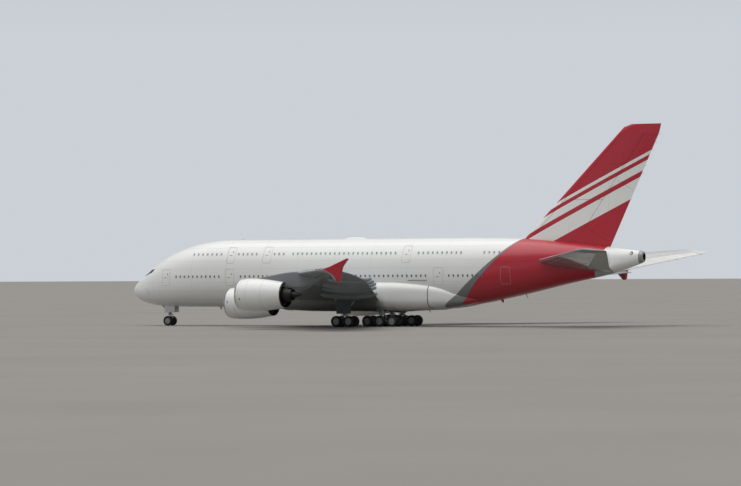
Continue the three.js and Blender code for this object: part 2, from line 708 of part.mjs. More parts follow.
// A pair of wheels on one axle, turning about port
function wheelPair({ radius, width }, track) {
  const half = width / 2;
  const profile = [
    [-half, 0],
    [-half, radius * 0.84],
    [-half * 0.7, radius],
    [half * 0.7, radius],
    [half, radius * 0.84],
    [half, 0],
  ].map(([along, out]) => new THREE.Vector2(out * MM, along * MM));
  const wheel = new THREE.LatheGeometry(profile, WHEEL_STEPS);
  const axle = new THREE.CylinderGeometry(AXLE_RADIUS * MM, AXLE_RADIUS * MM, track * MM, 8);
  let pair = solid(axle);
  [-1, 1].forEach((side) => {
    pair = pair.add(outward(wheel.clone().translate(0, (side * track * MM) / 2, 0)));
  });
  // The axle is laid to port, and a flat of the tread is turned down
  const laid = geometryOf(pair).rotateY(Math.PI / WHEEL_STEPS).rotateZ(-Math.PI / 2);
  return laid;
}

// A round strut between two places
function strut(from, to, radius, steps = 6) {
  return roundBar(place(...from), place(...to), radius * MM, radius * MM, 0, steps);
}

function plate(port, station, up, width, length, height) {
  const box = new THREE.BoxGeometry(width * MM, length * MM, height * MM);
  const at = place(port, station, up);
  return solid(box.translate(at.x, at.y, at.z));
}

const axleHole = (port, station, up) =>
  strut([port - 1, station, up], [port + 1, station, up], (AXLE_RADIUS + AXLE_PLAY) / Math.cos(Math.PI / 10), 10);

// A main gear: a leg with a bogie beam at its foot, which the axles pass through
function mainGear({ port, station, axles }, top, extras) {
  const axleUp = MAIN_TYRE.radius * FLAT_FOOT;
  let gear = strut([port, station, axleUp], [port, station, 1.45], 0.2)
    .add(strut([port, station, 1.4], [port, station, top], 0.27, 12))
    .add(strut([port, station + axles[0] - 0.2, axleUp], [port, station + axles.at(-1) + 0.2, axleUp], BEAM_RADIUS));
  axles.forEach((axle) => {
    gear = gear.add(strut([port - 0.3, station + axle, axleUp], [port + 0.3, station + axle, axleUp], 0.15));
  });
  extras.forEach((extra) => {
    gear = gear.add(extra);
  });
  axles.forEach((axle) => {
    gear = gear.subtract(axleHole(port, station + axle, axleUp));
  });
  return gear.subtract(bellyGrown).subtract(wingGrown).subtract(fuselageGrown);
}

const wingGear = mainGear(WING_GEAR, 4.1, [
  strut([6.23, 33.58, 1.9], [4.1, 33.9, 3.3], 0.1),
  strut([6.23, 33.58, 1.75], [6.23, 31.8, 3.8], 0.09),
  strut([6.23, 33.58, 1.3], [6.23, 33.95, 1.02], 0.06),
  strut([6.23, 33.95, 1.02], [6.23, 33.62, 0.78], 0.06),
  plate(6.66, 33.6, 2.45, 0.07, 2.0, 1.7),
  plate(6.48, 33.6, 2.3, 0.4, 0.12, 0.12),
]);
const bodyGear = mainGear(BODY_GEAR, 2.6, [
  strut([2.63, 36.85, 1.5], [2.63, 38.3, 2.3], 0.1),
  strut([2.63, 36.85, 1.5], [1.6, 36.6, 2.3], 0.09),
]);
SIDES.forEach(([side, turned]) => {
  const sign = side === "left" ? 1 : -1;
  [
    ["wing_gear", WING_GEAR, wingGear, ["front", "rear"]],
    ["body_gear", BODY_GEAR, bodyGear, ["front", "middle", "rear"]],
  ].forEach(([name, gear, made, rows]) => {
    addPiece(`${name}_${side}`, turned(geometryOf(made)), GEAR_GREY);
    rows.forEach((row, i) => {
      const wheels = addPiece(`${name}_${row}_wheels_${side}`, wheelPair(MAIN_TYRE, gear.track), RUBBER);
      wheels.position.copy(
        place(sign * gear.port, gear.station + gear.axles[i], MAIN_TYRE.radius * FLAT_FOOT),
      );
    });
  });
});

// Nose gear: a fixed leg with its drag stay and doors, and a steered fork that carries the axle
const noseAxleUp = NOSE_TYRE.radius * FLAT_FOOT;
const { station: noseAt } = NOSE_GEAR;
const noseLeg = strut([0, noseAt, 1.32], [0, noseAt, 3.0], 0.19, 14)
  .add(strut([0, noseAt, 1.6], [0, noseAt - 1.25, 2.9], 0.08))
  .add(strut([-0.52, noseAt, 2.0], [0.52, noseAt, 2.0], 0.05, 8))
  .add(plate(0.52, noseAt + 0.25, 2.12, 0.06, 1.5, 0.95))
  .add(plate(-0.52, noseAt + 0.25, 2.12, 0.06, 1.5, 0.95))
  .subtract(fuselageGrown);
const noseFork = strut([0, noseAt, noseAxleUp], [0, noseAt, 1.32 - CLEAR], 0.14, 14)
  .add(strut([-0.22, noseAt, noseAxleUp], [0.22, noseAt, noseAxleUp], 0.14, 12))
  .subtract(axleHole(0, noseAt, noseAxleUp));
addPiece("nose_gear_leg", geometryOf(noseLeg), GEAR_GREY);
addPiece("nose_gear_fork", geometryOf(noseFork), GEAR_GREY);
addPiece("nose_wheels", wheelPair(NOSE_TYRE, NOSE_GEAR.track), RUBBER).position.copy(
  place(0, noseAt, noseAxleUp),
);

export default aircraft;
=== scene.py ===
# A four-engined, double-deck wide body airliner on its landing gear, as a 1:2 scale model.
# Sizes here are the full-size aircraft's, in metres, and place() halves them into the frame:
# port is out to the left wing, station is aft from the nose tip and up is above the ground.
import math

import bmesh
import bpy
import numpy as np
from mathutils import Matrix, Vector


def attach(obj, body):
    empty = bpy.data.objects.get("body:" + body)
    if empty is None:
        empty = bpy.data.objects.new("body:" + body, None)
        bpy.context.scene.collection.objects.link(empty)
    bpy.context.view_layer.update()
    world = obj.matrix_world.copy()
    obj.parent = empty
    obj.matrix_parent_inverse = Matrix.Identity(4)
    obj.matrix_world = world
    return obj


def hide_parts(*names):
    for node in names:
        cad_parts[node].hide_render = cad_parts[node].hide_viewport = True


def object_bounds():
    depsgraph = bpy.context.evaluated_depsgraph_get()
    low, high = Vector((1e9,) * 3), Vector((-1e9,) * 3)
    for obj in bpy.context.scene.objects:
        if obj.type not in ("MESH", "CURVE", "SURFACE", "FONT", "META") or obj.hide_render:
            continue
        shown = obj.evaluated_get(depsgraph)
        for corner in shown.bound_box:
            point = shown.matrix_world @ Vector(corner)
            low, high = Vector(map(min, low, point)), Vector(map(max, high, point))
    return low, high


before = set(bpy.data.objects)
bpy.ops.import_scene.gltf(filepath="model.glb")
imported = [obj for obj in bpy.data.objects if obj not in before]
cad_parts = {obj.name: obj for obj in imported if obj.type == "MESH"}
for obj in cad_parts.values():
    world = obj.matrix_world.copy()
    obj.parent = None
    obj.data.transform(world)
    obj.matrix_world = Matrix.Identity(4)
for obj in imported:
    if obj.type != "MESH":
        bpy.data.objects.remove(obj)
cad_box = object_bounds()
SCALE = 0.5
NOSE = cad_box[0].y / SCALE  # the nose tip's place along the frame's y, at full size


def place(port, station, up):
    """A place on the aircraft as a point of the frame."""
    return Vector((port, station + NOSE, up)) * SCALE


def new_object(name, data):
    """A new object in the scene, for a mesh, a light or a camera."""
    made = bpy.data.objects.new(name, data)
    bpy.context.scene.collection.objects.link(made)
    return made


# Camera: it stands far off behind the port wing, a little above a person's height, and looks along the apron.
# The angles, the distance and the focal length in the photograph's pixels come from fitting the aircraft's
# known length, span and height to it.
PHOTO_WIDTH = 741
AZIMUTH, ELEVATION, ROLL = (math.radians(a) for a in (117.792, -0.559, -0.246))
CAMERA_DISTANCE, FOCAL_PIXELS = 427.994, 3469.139
AIM = place(0, 33.822, 10.262)

level = math.cos(ELEVATION)
back = Vector((math.sin(AZIMUTH) * level, -math.cos(AZIMUTH) * level, math.sin(ELEVATION)))
level_right = Vector((0, 0, 1)).cross(back).normalized()
right = level_right * math.cos(ROLL) + back.cross(level_right) * math.sin(ROLL)
camera = new_object("camera", bpy.data.cameras.new("camera"))
camera.data.sensor_width = 36
camera.data.lens = FOCAL_PIXELS * camera.data.sensor_width / PHOTO_WIDTH
camera.data.clip_start, camera.data.clip_end = 1, 8000
turn = Matrix((right, back.cross(right), back)).transposed().to_4x4()
camera.matrix_world = Matrix.Translation(AIM + back * CAMERA_DISTANCE * SCALE) @ turn
bpy.context.scene.camera = camera


# Studio: a pale matt floor out to the horizon, an even overcast dome and one very wide soft light overhead.
# The dome is bright overhead and dim above its pale rim, so that the crown is light and the flanks are grey.
FLOOR_RADIUS, FLOOR_SIDES = 3000, 96
HORIZON, MIDDLE, ZENITH = "#b1b6bb", "#6b6e71", "#ffffff"
DOME_STRENGTH, OVERHEAD_STRENGTH = 1.35, 1.3
OVERHEAD_WIDTH, OVERHEAD_TILT = math.radians(75), (math.radians(10), math.radians(14), 0)


def linear(code):
    """An sRGB hex colour as linear red, green, blue and alpha."""
    parts = [int(code[i : i + 2], 16) / 255 for i in (1, 3, 5)]
    return [p / 12.92 if p <= 0.04045 else ((p + 0.055) / 1.055) ** 2.4 for p in parts] + [1.0]


def add_node(tree, kind, inputs=(), **settings):
    """Adds a node with its settings and its inputs: values, hex colours, sockets or a node's outputs."""
    node = tree.nodes.new(kind)
    for name, value in settings.items():
        setattr(node, name, value)
    for key, value in inputs.items() if isinstance(inputs, dict) else enumerate(inputs):
        if isinstance(value, bpy.types.bpy_prop_collection):
            value = value[0]
        if isinstance(value, bpy.types.NodeSocket):
            tree.links.new(value, node.inputs[key])
        else:
            coded = isinstance(value, str) and value.startswith("#")
            node.inputs[key].default_value = linear(value) if coded else value
    return node.outputs


def coats(tree, colour, *layers):
    """A colour with other colours laid over it in turn, each as far as its mask lets it show."""
    for mask, over in layers:
        colour = add_node(tree, "ShaderNodeMix", {"Factor": mask, 6: colour, 7: over}, data_type="RGBA")[2]
    return colour


def new_material(name):
    """An empty material, its tree and the full-size place of the point being shaded."""
    made = bpy.data.materials.new(name)
    made.use_nodes = True
    tree = made.node_tree
    tree.nodes.clear()
    at = {"Vector": add_node(tree, "ShaderNodeTexCoord")["Object"], "Location": (0, -NOSE, 0)}
    return made, tree, add_node(tree, "ShaderNodeMapping", {**at, "Scale": [1 / SCALE] * 3})[0]


def finish(tree, inputs, height=None, depth=0.0):
    """Ends a material's tree in its shader, with a bump whose depth is in model metres where one is given."""
    if height is not None:
        inputs["Normal"] = add_node(tree, "ShaderNodeBump", {"Height": height, "Distance": depth})
    shader = add_node(tree, "ShaderNodeBsdfPrincipled", inputs)
    add_node(tree, "ShaderNodeOutputMaterial", {"Surface": shader})


def turns(count, first=0.0):
    """Angles evenly round a circle."""
    return [first + 2 * math.pi * i / count for i in range(count)]


def smoothed(mesh, smooth_below=35):
    """Shades a mesh smooth except over edges sharper than the angle."""
    mesh.shade_smooth()
    mesh.set_sharp_from_angle(angle=math.radians(smooth_below))
    return mesh


def new_piece(name, points, faces, material, smooth_below=35):
    """A mesh object from points and faces, facing out."""
    mesh = bpy.data.meshes.new(name)
    mesh.from_pydata([tuple(p) for p in points], [], faces)
    made = bmesh.new()
    made.from_mesh(mesh)
    bmesh.ops.recalc_face_normals(made, faces=made.faces)
    made.to_mesh(mesh)
    made.free()
    smoothed(mesh, smooth_below).materials.append(material)
    return new_object(name, mesh)


# Cast concrete, matt, with faint large patches of wear.
concrete, tree, here = new_material("pale_concrete")
texture = {"Vector": here, "Scale": 0.03, "Detail": 6.0, "Roughness": 0.6}
patches = add_node(tree, "ShaderNodeTexNoise", texture)
finish(tree, {"Base Color": coats(tree, "#8f8c86", (patches, "#7d7973")), "Roughness": 0.9})
rim = [(FLOOR_RADIUS * math.cos(t), FLOOR_RADIUS * math.sin(t), 0) for t in turns(FLOOR_SIDES)]
floor = new_piece("floor", rim, [list(range(FLOOR_SIDES))], concrete)

world = bpy.data.worlds.new("overcast")
bpy.context.scene.world = world
world.use_nodes = True
dome = world.node_tree
dome.nodes.clear()
height = add_node(dome, "ShaderNodeSeparateXYZ", [add_node(dome, "ShaderNodeTexCoord")["Generated"]])["Z"]
above_rim = add_node(dome, "ShaderNodeMapRange", (height, 0.07, 0.32))
aloft = add_node(dome, "ShaderNodeMapRange", (height, 0.4, 1.0))
sky = coats(dome, HORIZON, (above_rim, MIDDLE), (aloft, ZENITH))
glow = add_node(dome, "ShaderNodeBackground", {"Color": sky, "Strength": DOME_STRENGTH})
add_node(dome, "ShaderNodeOutputWorld", {"Surface": glow})

overhead = new_object("overhead", bpy.data.lights.new("overhead", "SUN"))
overhead.data.energy, overhead.data.angle = OVERHEAD_STRENGTH, OVERHEAD_WIDTH
overhead.rotation_euler = OVERHEAD_TILT
bpy.context.scene.view_settings.view_transform = "Standard"


# Fuselage: two decks inside one oval tube of riveted aluminium alloy, in three sections joined round.
# Each frame gives its station, keel, crown, half width and how far up its widest place is.
FRAMES = np.array([
    [0.0, 4.02, 4.8, 0.42, 0.5], [0.25, 3.74, 5.2, 0.95, 0.5], [0.7, 3.4, 5.62, 1.4, 0.5],
    [1.5, 3.02, 6.2, 1.88, 0.48], [2.6, 2.72, 6.98, 2.34, 0.47], [3.6, 2.57, 7.78, 2.64, 0.46],
    [4.6, 2.49, 8.42, 2.87, 0.45], [6.2, 2.43, 9.22, 3.15, 0.44], [8.5, 2.4, 10.02, 3.4, 0.43],
    [11.0, 2.39, 10.56, 3.53, 0.43], [14.0, 2.39, 10.8, 3.57, 0.43], [17.5, 2.39, 10.8, 3.57, 0.43],
    [44.2, 2.39, 10.8, 3.57, 0.43], [47.0, 2.5, 10.8, 3.56, 0.43], [50.0, 2.92, 10.77, 3.47, 0.44],
    [53.0, 3.5, 10.7, 3.28, 0.45], [56.0, 4.12, 10.57, 2.98, 0.46], [59.0, 4.8, 10.35, 2.58, 0.48],
    [62.0, 5.45, 10.05, 2.12, 0.5], [64.5, 5.93, 9.75, 1.72, 0.5], [66.4, 6.35, 9.5, 1.42, 0.5],
    [68.4, 6.95, 9.25, 1.08, 0.5], [70.1, 7.58, 9.02, 0.72, 0.5], [70.4, 7.72, 8.92, 0.6, 0.5],
])
ROUNDNESS = 2.25  # 2 is an ellipse, more is squarer
AROUND = 96
SECTIONS = {"nose": (0.0, 17.5, 70), "centre": (17.5, 44.2, 30), "rear": (44.2, 70.4, 60)}
NOSE_CAP = 0.25  # ahead of this station the frames shrink to a round tip
SKIN, CLEAR = 0.13, 0.016
EXHAUST_BORE = ((0, 70.05, 8.32), (0, 71, 8.32), 0.45)


def row_at(table, at):
    """A table's row at a place between its own rows, on a curve that never overshoots them."""
    x, y = table[:, 0], table[:, 1:]
    gap = np.diff(x)[:, None]
    slope = np.diff(y, axis=0) / gap
    ahead, behind_it = gap[:-1], gap[1:]
    with np.errstate(divide="ignore", invalid="ignore"):
        weights = (2 * behind_it + ahead) / slope[:-1] + (behind_it + 2 * ahead) / slope[1:]
        mean = np.where(slope[:-1] * slope[1:] > 0, 3 * (behind_it + ahead) / weights, 0)
    tangent = np.vstack([slope[:1], mean, slope[-1:]])
    i = int(np.clip(np.searchsorted(x, at) - 1, 0, len(x) - 2))
    t, width = (at - x[i]) / gap[i, 0], gap[i, 0]
    start = (1 - t) ** 2 * ((1 + 2 * t) * y[i] + t * width * tangent[i])
    return start + t * t * ((3 - 2 * t) * y[i + 1] + (t - 1) * width * tangent[i + 1])


def hull_row(station):
    """Keel, crown, half width and widest share of the fuselage at a station, rounded off at the nose."""
    if station >= NOSE_CAP:
        return row_at(FRAMES, station)
    keel, crown, half, widest = row_at(FRAMES, NOSE_CAP)
    shrink = math.sqrt(max(station, 1e-4) / NOSE_CAP)
    middle, reach = (keel + crown) / 2, (crown - keel) / 2 * shrink
    return np.array([middle - reach, middle + reach, half * shrink, widest])


def around_hull(row, station, angle, roundness=ROUNDNESS, grow=0.0):
    """The point of a hull at an angle round its frame: 0 is out to port and a quarter turn is the crown."""
    keel, crown, half, widest = row
    middle = keel + (crown - keel) * widest
    across, along = (math.copysign(abs(f(angle)) ** (2 / roundness), f(angle)) for f in (math.cos, math.sin))
    reach = (crown - middle if along > 0 else middle - keel) + grow
    return place(across * (half + grow), station, middle + along * reach)


def ring(row, station, roundness=ROUNDNESS, grow=0.0):
    """A whole frame of a hull, from the keel round by port."""
    return [around_hull(row, station, t, roundness, grow) for t in turns(AROUND, -math.pi / 2)]


def loft(name, rings, material, smooth_below=35):
    """A closed skin over rings of points, with a lid at both ends."""
    count, last = len(rings[0]), (len(rings) - 1) * len(rings[0])
    faces = [
        [r + i, r + (i + 1) % count, r + count + (i + 1) % count, r + count + i]
        for r in range(0, last, count)
        for i in range(count)
    ]
    lids = [list(range(count)), list(range(last, last + count))]
    return new_piece(name, [p for r in rings for p in r], faces + lids, material, smooth_below)


def width_at(row, up):
    """Half the width of a frame at a height."""
    keel, crown, half, widest = row
    middle = keel + (crown - keel) * widest
    share = min(1.0, abs(up - middle) / (crown - middle if up > middle else middle - keel))
    return half * (1 - share**ROUNDNESS) ** (1 / ROUNDNESS)


def skin_point(station, up, side=1, lift=0.0):
    """The point of the fuselage's side at a station and a height, and which way the skin faces there."""
    at, aft, above = (
        place(side * width_at(hull_row(s), u), s, u)
        for s, u in ((station, up), (station + 0.05, up), (station, up + 0.05))
    )
    facing = (aft - at).cross(above - at).normalized()
    if facing.x * side < 0:
        facing.negate()
    return at + facing * lift * SCALE, facing


def carve(piece, tool, how="DIFFERENCE"):
    """Cuts a closed piece with another closed one, or joins them, and takes the tool away."""
    cutter = piece.modifiers.new("cut", "BOOLEAN")
    cutter.operation, cutter.object, cutter.solver = how, tool, "MANIFOLD"
    evaluated = piece.evaluated_get(bpy.context.evaluated_depsgraph_get())
    mesh = bpy.data.meshes.new_from_object(evaluated)
    piece.modifiers.clear()
    piece.data = smoothed(mesh)
    bpy.data.objects.remove(tool)
    return piece


def bar(a, b, radius_a, radius_b, steps=48, inset=0.0):
    """The rings of a round bar from one point of the frame to another, with radii in full-size metres."""
    along = (b - a).normalized()
    aside = along.orthogonal().normalized()
    third = along.cross(aside)
    a, b = a + along * inset * SCALE, b - along * inset * SCALE
    return [
        [end + (aside * math.cos(t) + third * math.sin(t)) * radius * SCALE for t in turns(steps)]
        for end, radius in ((a, radius_a), (b, radius_b))
    ]


def mount(piece, body="airframe", node=None):
    """Rides a piece on its body and, where it stands for a CAD node, hides that node."""
    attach(piece, body)
    if node:
        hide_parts(node)
    return piece


# Polyurethane enamel over riveted alloy: smooth and glossy, a little duller with grime low down, with the
# skin's panels just told apart. White, with red aft of a slanted edge and a grey band that narrows upwards.
WHITE, RED, BAND, SEAL = "#e8e8e5", "#b3142c", "#77797a", "#a7a9a6"
RED_EDGE = (45.84, 0.608, 0.025)  # its station as a + b up + c up up
BAND_EDGE = (42.75, 1.097, 0.0051)
TAIL_EDGE = (61.87, 0.424, 0.0)
SEAL_EDGE = (69.96, -0.481, 0.0)  # the bare plate that the tailplane's root slides over ends here
SEAL_TOP = 8.92
FRAME_PITCH = 0.635
LAP_HEIGHTS = (3.3, 4.35, 5.45, 7.15, 8.1, 9.75, 10.4)
SEAM_WIDTH = 0.035  # drawn wider than the real 5 mm, so that it can be seen
SEAM_SHADE, SEAM_DEPTH = 0.2, 0.002


def past_edge(tree, parts, edge):
    """1 where the station is aft of a slanted edge."""
    start, slope, bend = edge
    squared = add_node(tree, "ShaderNodeMath", (parts["Z"], bend, slope), operation="MULTIPLY_ADD")
    along = add_node(tree, "ShaderNodeMath", (squared, parts["Z"], start), operation="MULTIPLY_ADD")
    return add_node(tree, "ShaderNodeMath", (parts["Y"], along), operation="GREATER_THAN")


def panel_seams(tree, parts):
    """1 along the joints round the fuselage every eight frames and the laps along it."""
    spaced = add_node(tree, "ShaderNodeMath", (parts["Y"], 4 * FRAME_PITCH), operation="PINGPONG")
    mask = add_node(tree, "ShaderNodeMath", (spaced, SEAM_WIDTH / 2), operation="LESS_THAN")
    for lap in LAP_HEIGHTS:
        near = add_node(tree, "ShaderNodeMath", (parts["Z"], lap, SEAM_WIDTH / 2), operation="COMPARE")
        mask = add_node(tree, "ShaderNodeMath", (mask, near), operation="MAXIMUM")
    return mask


def enamel(name, ground=WHITE, seams=True, bands=(), red_from=None, wing_shadow_to=None):
    """The aircraft's paint: its scheme over a ground colour, or one red, with white bands or grey to an edge.
    Low down ahead of the station in its last argument, if that is given, it is darkened as a painted shadow
    of the wing."""
    made, tree, here = new_material(name)
    parts = add_node(tree, "ShaderNodeSeparateXYZ", [here])
    if ground == RED:
        colour = RED
        for low, high, slope in bands:
            line = (parts["Y"], -slope, parts["Z"])
            level = add_node(tree, "ShaderNodeMath", line, operation="MULTIPLY_ADD")
            span = (level, (low + high) / 2, (high - low) / 2)
            colour = coats(tree, colour, (add_node(tree, "ShaderNodeMath", span, operation="COMPARE"), WHITE))
        if red_from:
            colour = coats(tree, "#82878b", (past_edge(tree, parts, red_from), colour))
    else:
        low = add_node(tree, "ShaderNodeMath", (parts["Z"], SEAL_TOP), operation="LESS_THAN")
        sealed = past_edge(tree, parts, SEAL_EDGE)
        ahead = add_node(tree, "ShaderNodeMath", (sealed, 1.0), operation="LESS_THAN")
        plate = add_node(tree, "ShaderNodeMath", (ahead, low), operation="MULTIPLY")
        scheme = ((BAND_EDGE, BAND), (RED_EDGE, RED), (TAIL_EDGE, coats(tree, ground, (plate, SEAL))))
        colour = coats(tree, ground, *((past_edge(tree, parts, edge), over) for edge, over in scheme))
    stretched = add_node(tree, "ShaderNodeMapping", {"Vector": here, "Scale": (1.0, 0.35, 1.6)})
    texture = {"Vector": stretched, "Scale": 0.8, "Detail": 8.0, "Roughness": 0.65}
    grime = add_node(tree, "ShaderNodeTexNoise", texture)
    low_down = add_node(tree, "ShaderNodeMapRange", (parts["Z"], 6.5, 2.0, 0.03, 0.22))
    dirt = add_node(tree, "ShaderNodeMath", (low_down, grime), operation="MULTIPLY")
    colour = coats(tree, colour, (dirt, "#6f6a62"))
    # Painted shadow: the wing's shadow on the fairing, darkening the paint low down ahead of a station.
    if wing_shadow_to:
        ahead = add_node(tree, "ShaderNodeMapRange", (parts["Y"], wing_shadow_to, wing_shadow_to - 1.5, 0.0, 0.8))
        below = add_node(tree, "ShaderNodeMapRange", (parts["Z"], 4.4, 3.2))
        painted_wing_shadow = add_node(tree, "ShaderNodeMath", (ahead, below), operation="MULTIPLY")
        colour = coats(tree, colour, (painted_wing_shadow, "#3a3b3c"))
    height = None
    if seams:
        seam = panel_seams(tree, parts)
        shade = add_node(tree, "ShaderNodeMath", (seam, SEAM_SHADE), operation="MULTIPLY")
        colour = coats(tree, colour, (shade, "#5b5d5f"))
        height = add_node(tree, "ShaderNodeMath", (seam, -1.0), operation="MULTIPLY")
    gloss = add_node(tree, "ShaderNodeMapRange", (grime, 0, 1, 0.26, 0.42))
    look = {"Base Color": colour, "Roughness": gloss, "Coat Weight": 0.35, "Coat Roughness": 0.12, "IOR": 1.5}
    finish(tree, look, height, SEAM_DEPTH)
    return made


fuselage_paint = enamel("polyurethane_enamel_livery")

# Each cargo door's first and last station, and its hinge's and its sill's height.
CARGO_DOORS = {"forward": (13.9, 17.1, 5.05, 3.25), "aft": (47.1, 49.9, 5.2, 3.4)}


def hull_solid(name, from_station, to_station, count, grow=0.0):
    """A closed length of the fuselage's own shape."""
    share = np.linspace(0, 1, count) ** (2.6 if from_station == 0 else 1)
    stations = from_station + (to_station - from_station) * share
    return loft(name, [ring(hull_row(s), s, grow=grow) for s in stations], fuselage_paint)


def side_of(station, up):
    """Half the fuselage's width at a height, from the straight-sided frames that the hinges are set by."""
    return width_at([np.interp(station, FRAMES[:, 0], FRAMES[:, i]) for i in (1, 2, 3, 4)], up)


def cargo_cutter(door, grow):
    """What a cargo door's panel or pocket is cut with: a round bar about its hinge, below the hinge.
    The panel starts five gaps down, so that it swings clear of the skin over the hinge."""
    start, end, hinge, sill = CARGO_DOORS[door]
    a, b = (place(-side_of(s, hinge), s, hinge) for s in (start, end))
    reach = math.hypot(side_of(start, sill) - side_of(start, hinge), hinge - sill) + grow
    low, high, middle = hinge - 4, hinge + 5 * grow, (start + end) / 2
    corners = ((-6.6, low), (-0.6, low), (-0.6, high), (-6.6, high))
    rings = [[place(x, s, u) for x, u in corners] for s in (middle - 4, middle + 4)]
    cutter = loft("cutter", bar(a, b, reach, reach, 96, -grow), fuselage_paint)
    return carve(cutter, loft("below", rings, fuselage_paint), "INTERSECT")


skins = {name: hull_solid(f"{name}_skin", *length) for name, length in SECTIONS.items()}
door_panels = {}
for door, section in (("forward", "nose"), ("aft", "rear")):
    start, end = CARGO_DOORS[door][:2]
    panel = hull_solid(f"{door}_cargo_door_panel", start - 1, min(end + 1, SECTIONS[section][1]), 14)
    carve(panel, hull_solid("inside", start - 2, end + 2, 14, -SKIN))
    door_panels[door] = carve(panel, cargo_cutter(door, -CLEAR), "INTERSECT")
    pocket_floor = hull_solid("pocket_floor", start - 2, end + 2, 14, -SKIN - CLEAR)
    carve(skins[section], carve(cargo_cutter(door, 0.0), pocket_floor))
start, end, radius = EXHAUST_BORE
carve(skins["rear"], loft("exhaust_bore", bar(place(*start), place(*end), radius, radius), fuselage_paint))
for section, skin in skins.items():
    mount(skin, "airframe", f"{section}_fuselage")
for door, panel in door_panels.items():
    mount(panel, f"{door}_cargo_door", f"{door}_cargo_door")


# Cabin windows: stretched acrylic panes, each in a moulded ring that shows as a low lip round the dark pane.
# They sit one to a frame pitch on both decks, with gaps at the doors, and follow the skin.
# Each row gives its height, its first and last station and its number.
WINDOW_ROWS = [
    (6.2, 7.88, 14.24, 11), (6.2, 17.37, 27.55, 17), (6.2, 30.49, 43.22, 21), (6.2, 46.36, 50.74, 8),
    (8.98, 10.2, 14.3, 7), (8.98, 16.8, 19.34, 5), (8.98, 21.92, 23.21, 3), (8.98, 24.56, 38.83, 23),
    (8.98, 42.0, 47.74, 10), (8.98, 50.84, 52.8, 4),
]
PANE_LIFT = 0.012


def new_tree(name, sizes):
    """An empty Geometry Nodes tree with named inputs, and its input node's sockets."""
    tree = bpy.data.node_groups.new(name, "GeometryNodeTree")
    for label, kind in {"Geometry": "Geometry", **sizes}.items():
        tree.interface.new_socket(label, in_out="INPUT", socket_type=f"NodeSocket{kind}")
    tree.interface.new_socket("Geometry", in_out="OUTPUT", socket_type="NodeSocketGeometry")
    return tree, add_node(tree, "NodeGroupInput")


def end_tree(tree, geometry, material=None):
    """Ends a tree by realizing its instances, in one material if that is given."""
    real = add_node(tree, "GeometryNodeRealizeInstances", [geometry])
    if material:
        real = add_node(tree, "GeometryNodeSetMaterial", {0: real, "Material": material})
    add_node(tree, "NodeGroupOutput", [real])


def grow(name, mesh, tree, sizes):
    """The plain mesh that a tree makes out of a mesh, as a new piece."""
    source = new_object("source", mesh)
    nodes = source.modifiers.new("grow", "NODES")
    nodes.node_group = tree
    for item in tree.interface.items_tree:
        if item.name in sizes:
            nodes[item.identifier] = sizes[item.name]
    evaluated = source.evaluated_get(bpy.context.evaluated_depsgraph_get())
    made = smoothed(bpy.data.meshes.new_from_object(evaluated))
    bpy.data.objects.remove(source)
    made.name = name
    return new_object(name, made)


def marked(places):
    """A mesh of loose points that know which way they face."""
    mesh = bpy.data.meshes.new("places")
    mesh.from_pydata([p for p, _ in places], [], [])
    facing = mesh.attributes.new("facing", "FLOAT_VECTOR", "POINT")
    facing.data.foreach_set("vector", [x for _, f in places for x in f])
    return mesh


kinds = dict.fromkeys(("Width", "Height", "Corner", "Lip"), "Float")
kinds.update(Pane="Material", Ring="Material")
window_tree, given = new_tree("window_rows", kinds)
outline = add_node(window_tree, "GeometryNodeCurvePrimitiveQuadrilateral", (given["Width"], given["Height"]))
corners = {"Curve": outline, "Radius": given["Corner"], "Count": 3}
rounded = add_node(window_tree, "GeometryNodeFilletCurve", corners, mode="POLY")
profile = add_node(window_tree, "GeometryNodeCurvePrimitiveCircle", {"Resolution": 4, "Radius": given["Lip"]})
pane = add_node(window_tree, "GeometryNodeFillCurve", [rounded], mode="NGONS")
lip = add_node(window_tree, "GeometryNodeCurveToMesh", (rounded, profile))
join = window_tree.nodes.new("GeometryNodeJoinGeometry")
for shape, label in ((pane, "Pane"), (lip, "Ring")):
    shape = add_node(window_tree, "GeometryNodeSetMaterial", {0: shape, "Material": given[label]})
    window_tree.links.new(shape[0], join.inputs[0])
# Each window stands on its point facing out, with its top up.
stored = {"Name": "facing"}
facing = add_node(window_tree, "GeometryNodeInputNamedAttribute", stored, data_type="FLOAT_VECTOR")
out = add_node(window_tree, "FunctionNodeAlignRotationToVector", {"Vector": facing}, axis="Z")
upwards = {"Rotation": out, "Vector": (0, 0, 1)}
stood = add_node(window_tree, "FunctionNodeAlignRotationToVector", upwards, axis="Y", pivot_axis="Z")
set_out = {"Points": given["Geometry"], "Instance": join.outputs[0], "Rotation": stood}
end_tree(window_tree, add_node(window_tree, "GeometryNodeInstanceOnPoints", set_out))

# Acrylic: smooth and glossy, dark grey below, and paler on the upper deck as a painted reflection of the sky.
acrylic, tree, here = new_material("stretched_acrylic_pane")
shade = add_node(tree, "ShaderNodeTexNoise", {"Vector": here, "Scale": 1.7, "Detail": 1.0})
up = add_node(tree, "ShaderNodeSeparateXYZ", [here])["Z"]
# Painted reflection: the upper deck's panes are paler, as if they caught the sky.
upper = add_node(tree, "ShaderNodeMath", (up, 8.0), operation="GREATER_THAN")
dark = coats(tree, "#51565c", (upper, "#83888c"))
pale = coats(tree, "#747a7f", (upper, "#9ca0a3"))
finish(tree, {"Base Color": coats(tree, dark, (shade, pale)), "Roughness": 0.08, "IOR": 1.49})


def set_windows(name, places, width, tall, corner):
    """Windows of one size at some places on the skin."""
    sizes = {"Width": width * SCALE, "Height": tall * SCALE, "Corner": corner * SCALE, "Lip": 0.022 * SCALE}
    points = marked([skin_point(station, up, side, PANE_LIFT) for station, up in places for side in (1, -1)])
    mount(grow(name, points, window_tree, {**sizes, "Pane": acrylic, "Ring": fuselage_paint}))


window_places = [(s, up) for up, first, last, number in WINDOW_ROWS for s in np.linspace(first, last, number)]
set_windows("cabin_windows", window_places, 0.25, 0.36, 0.1)


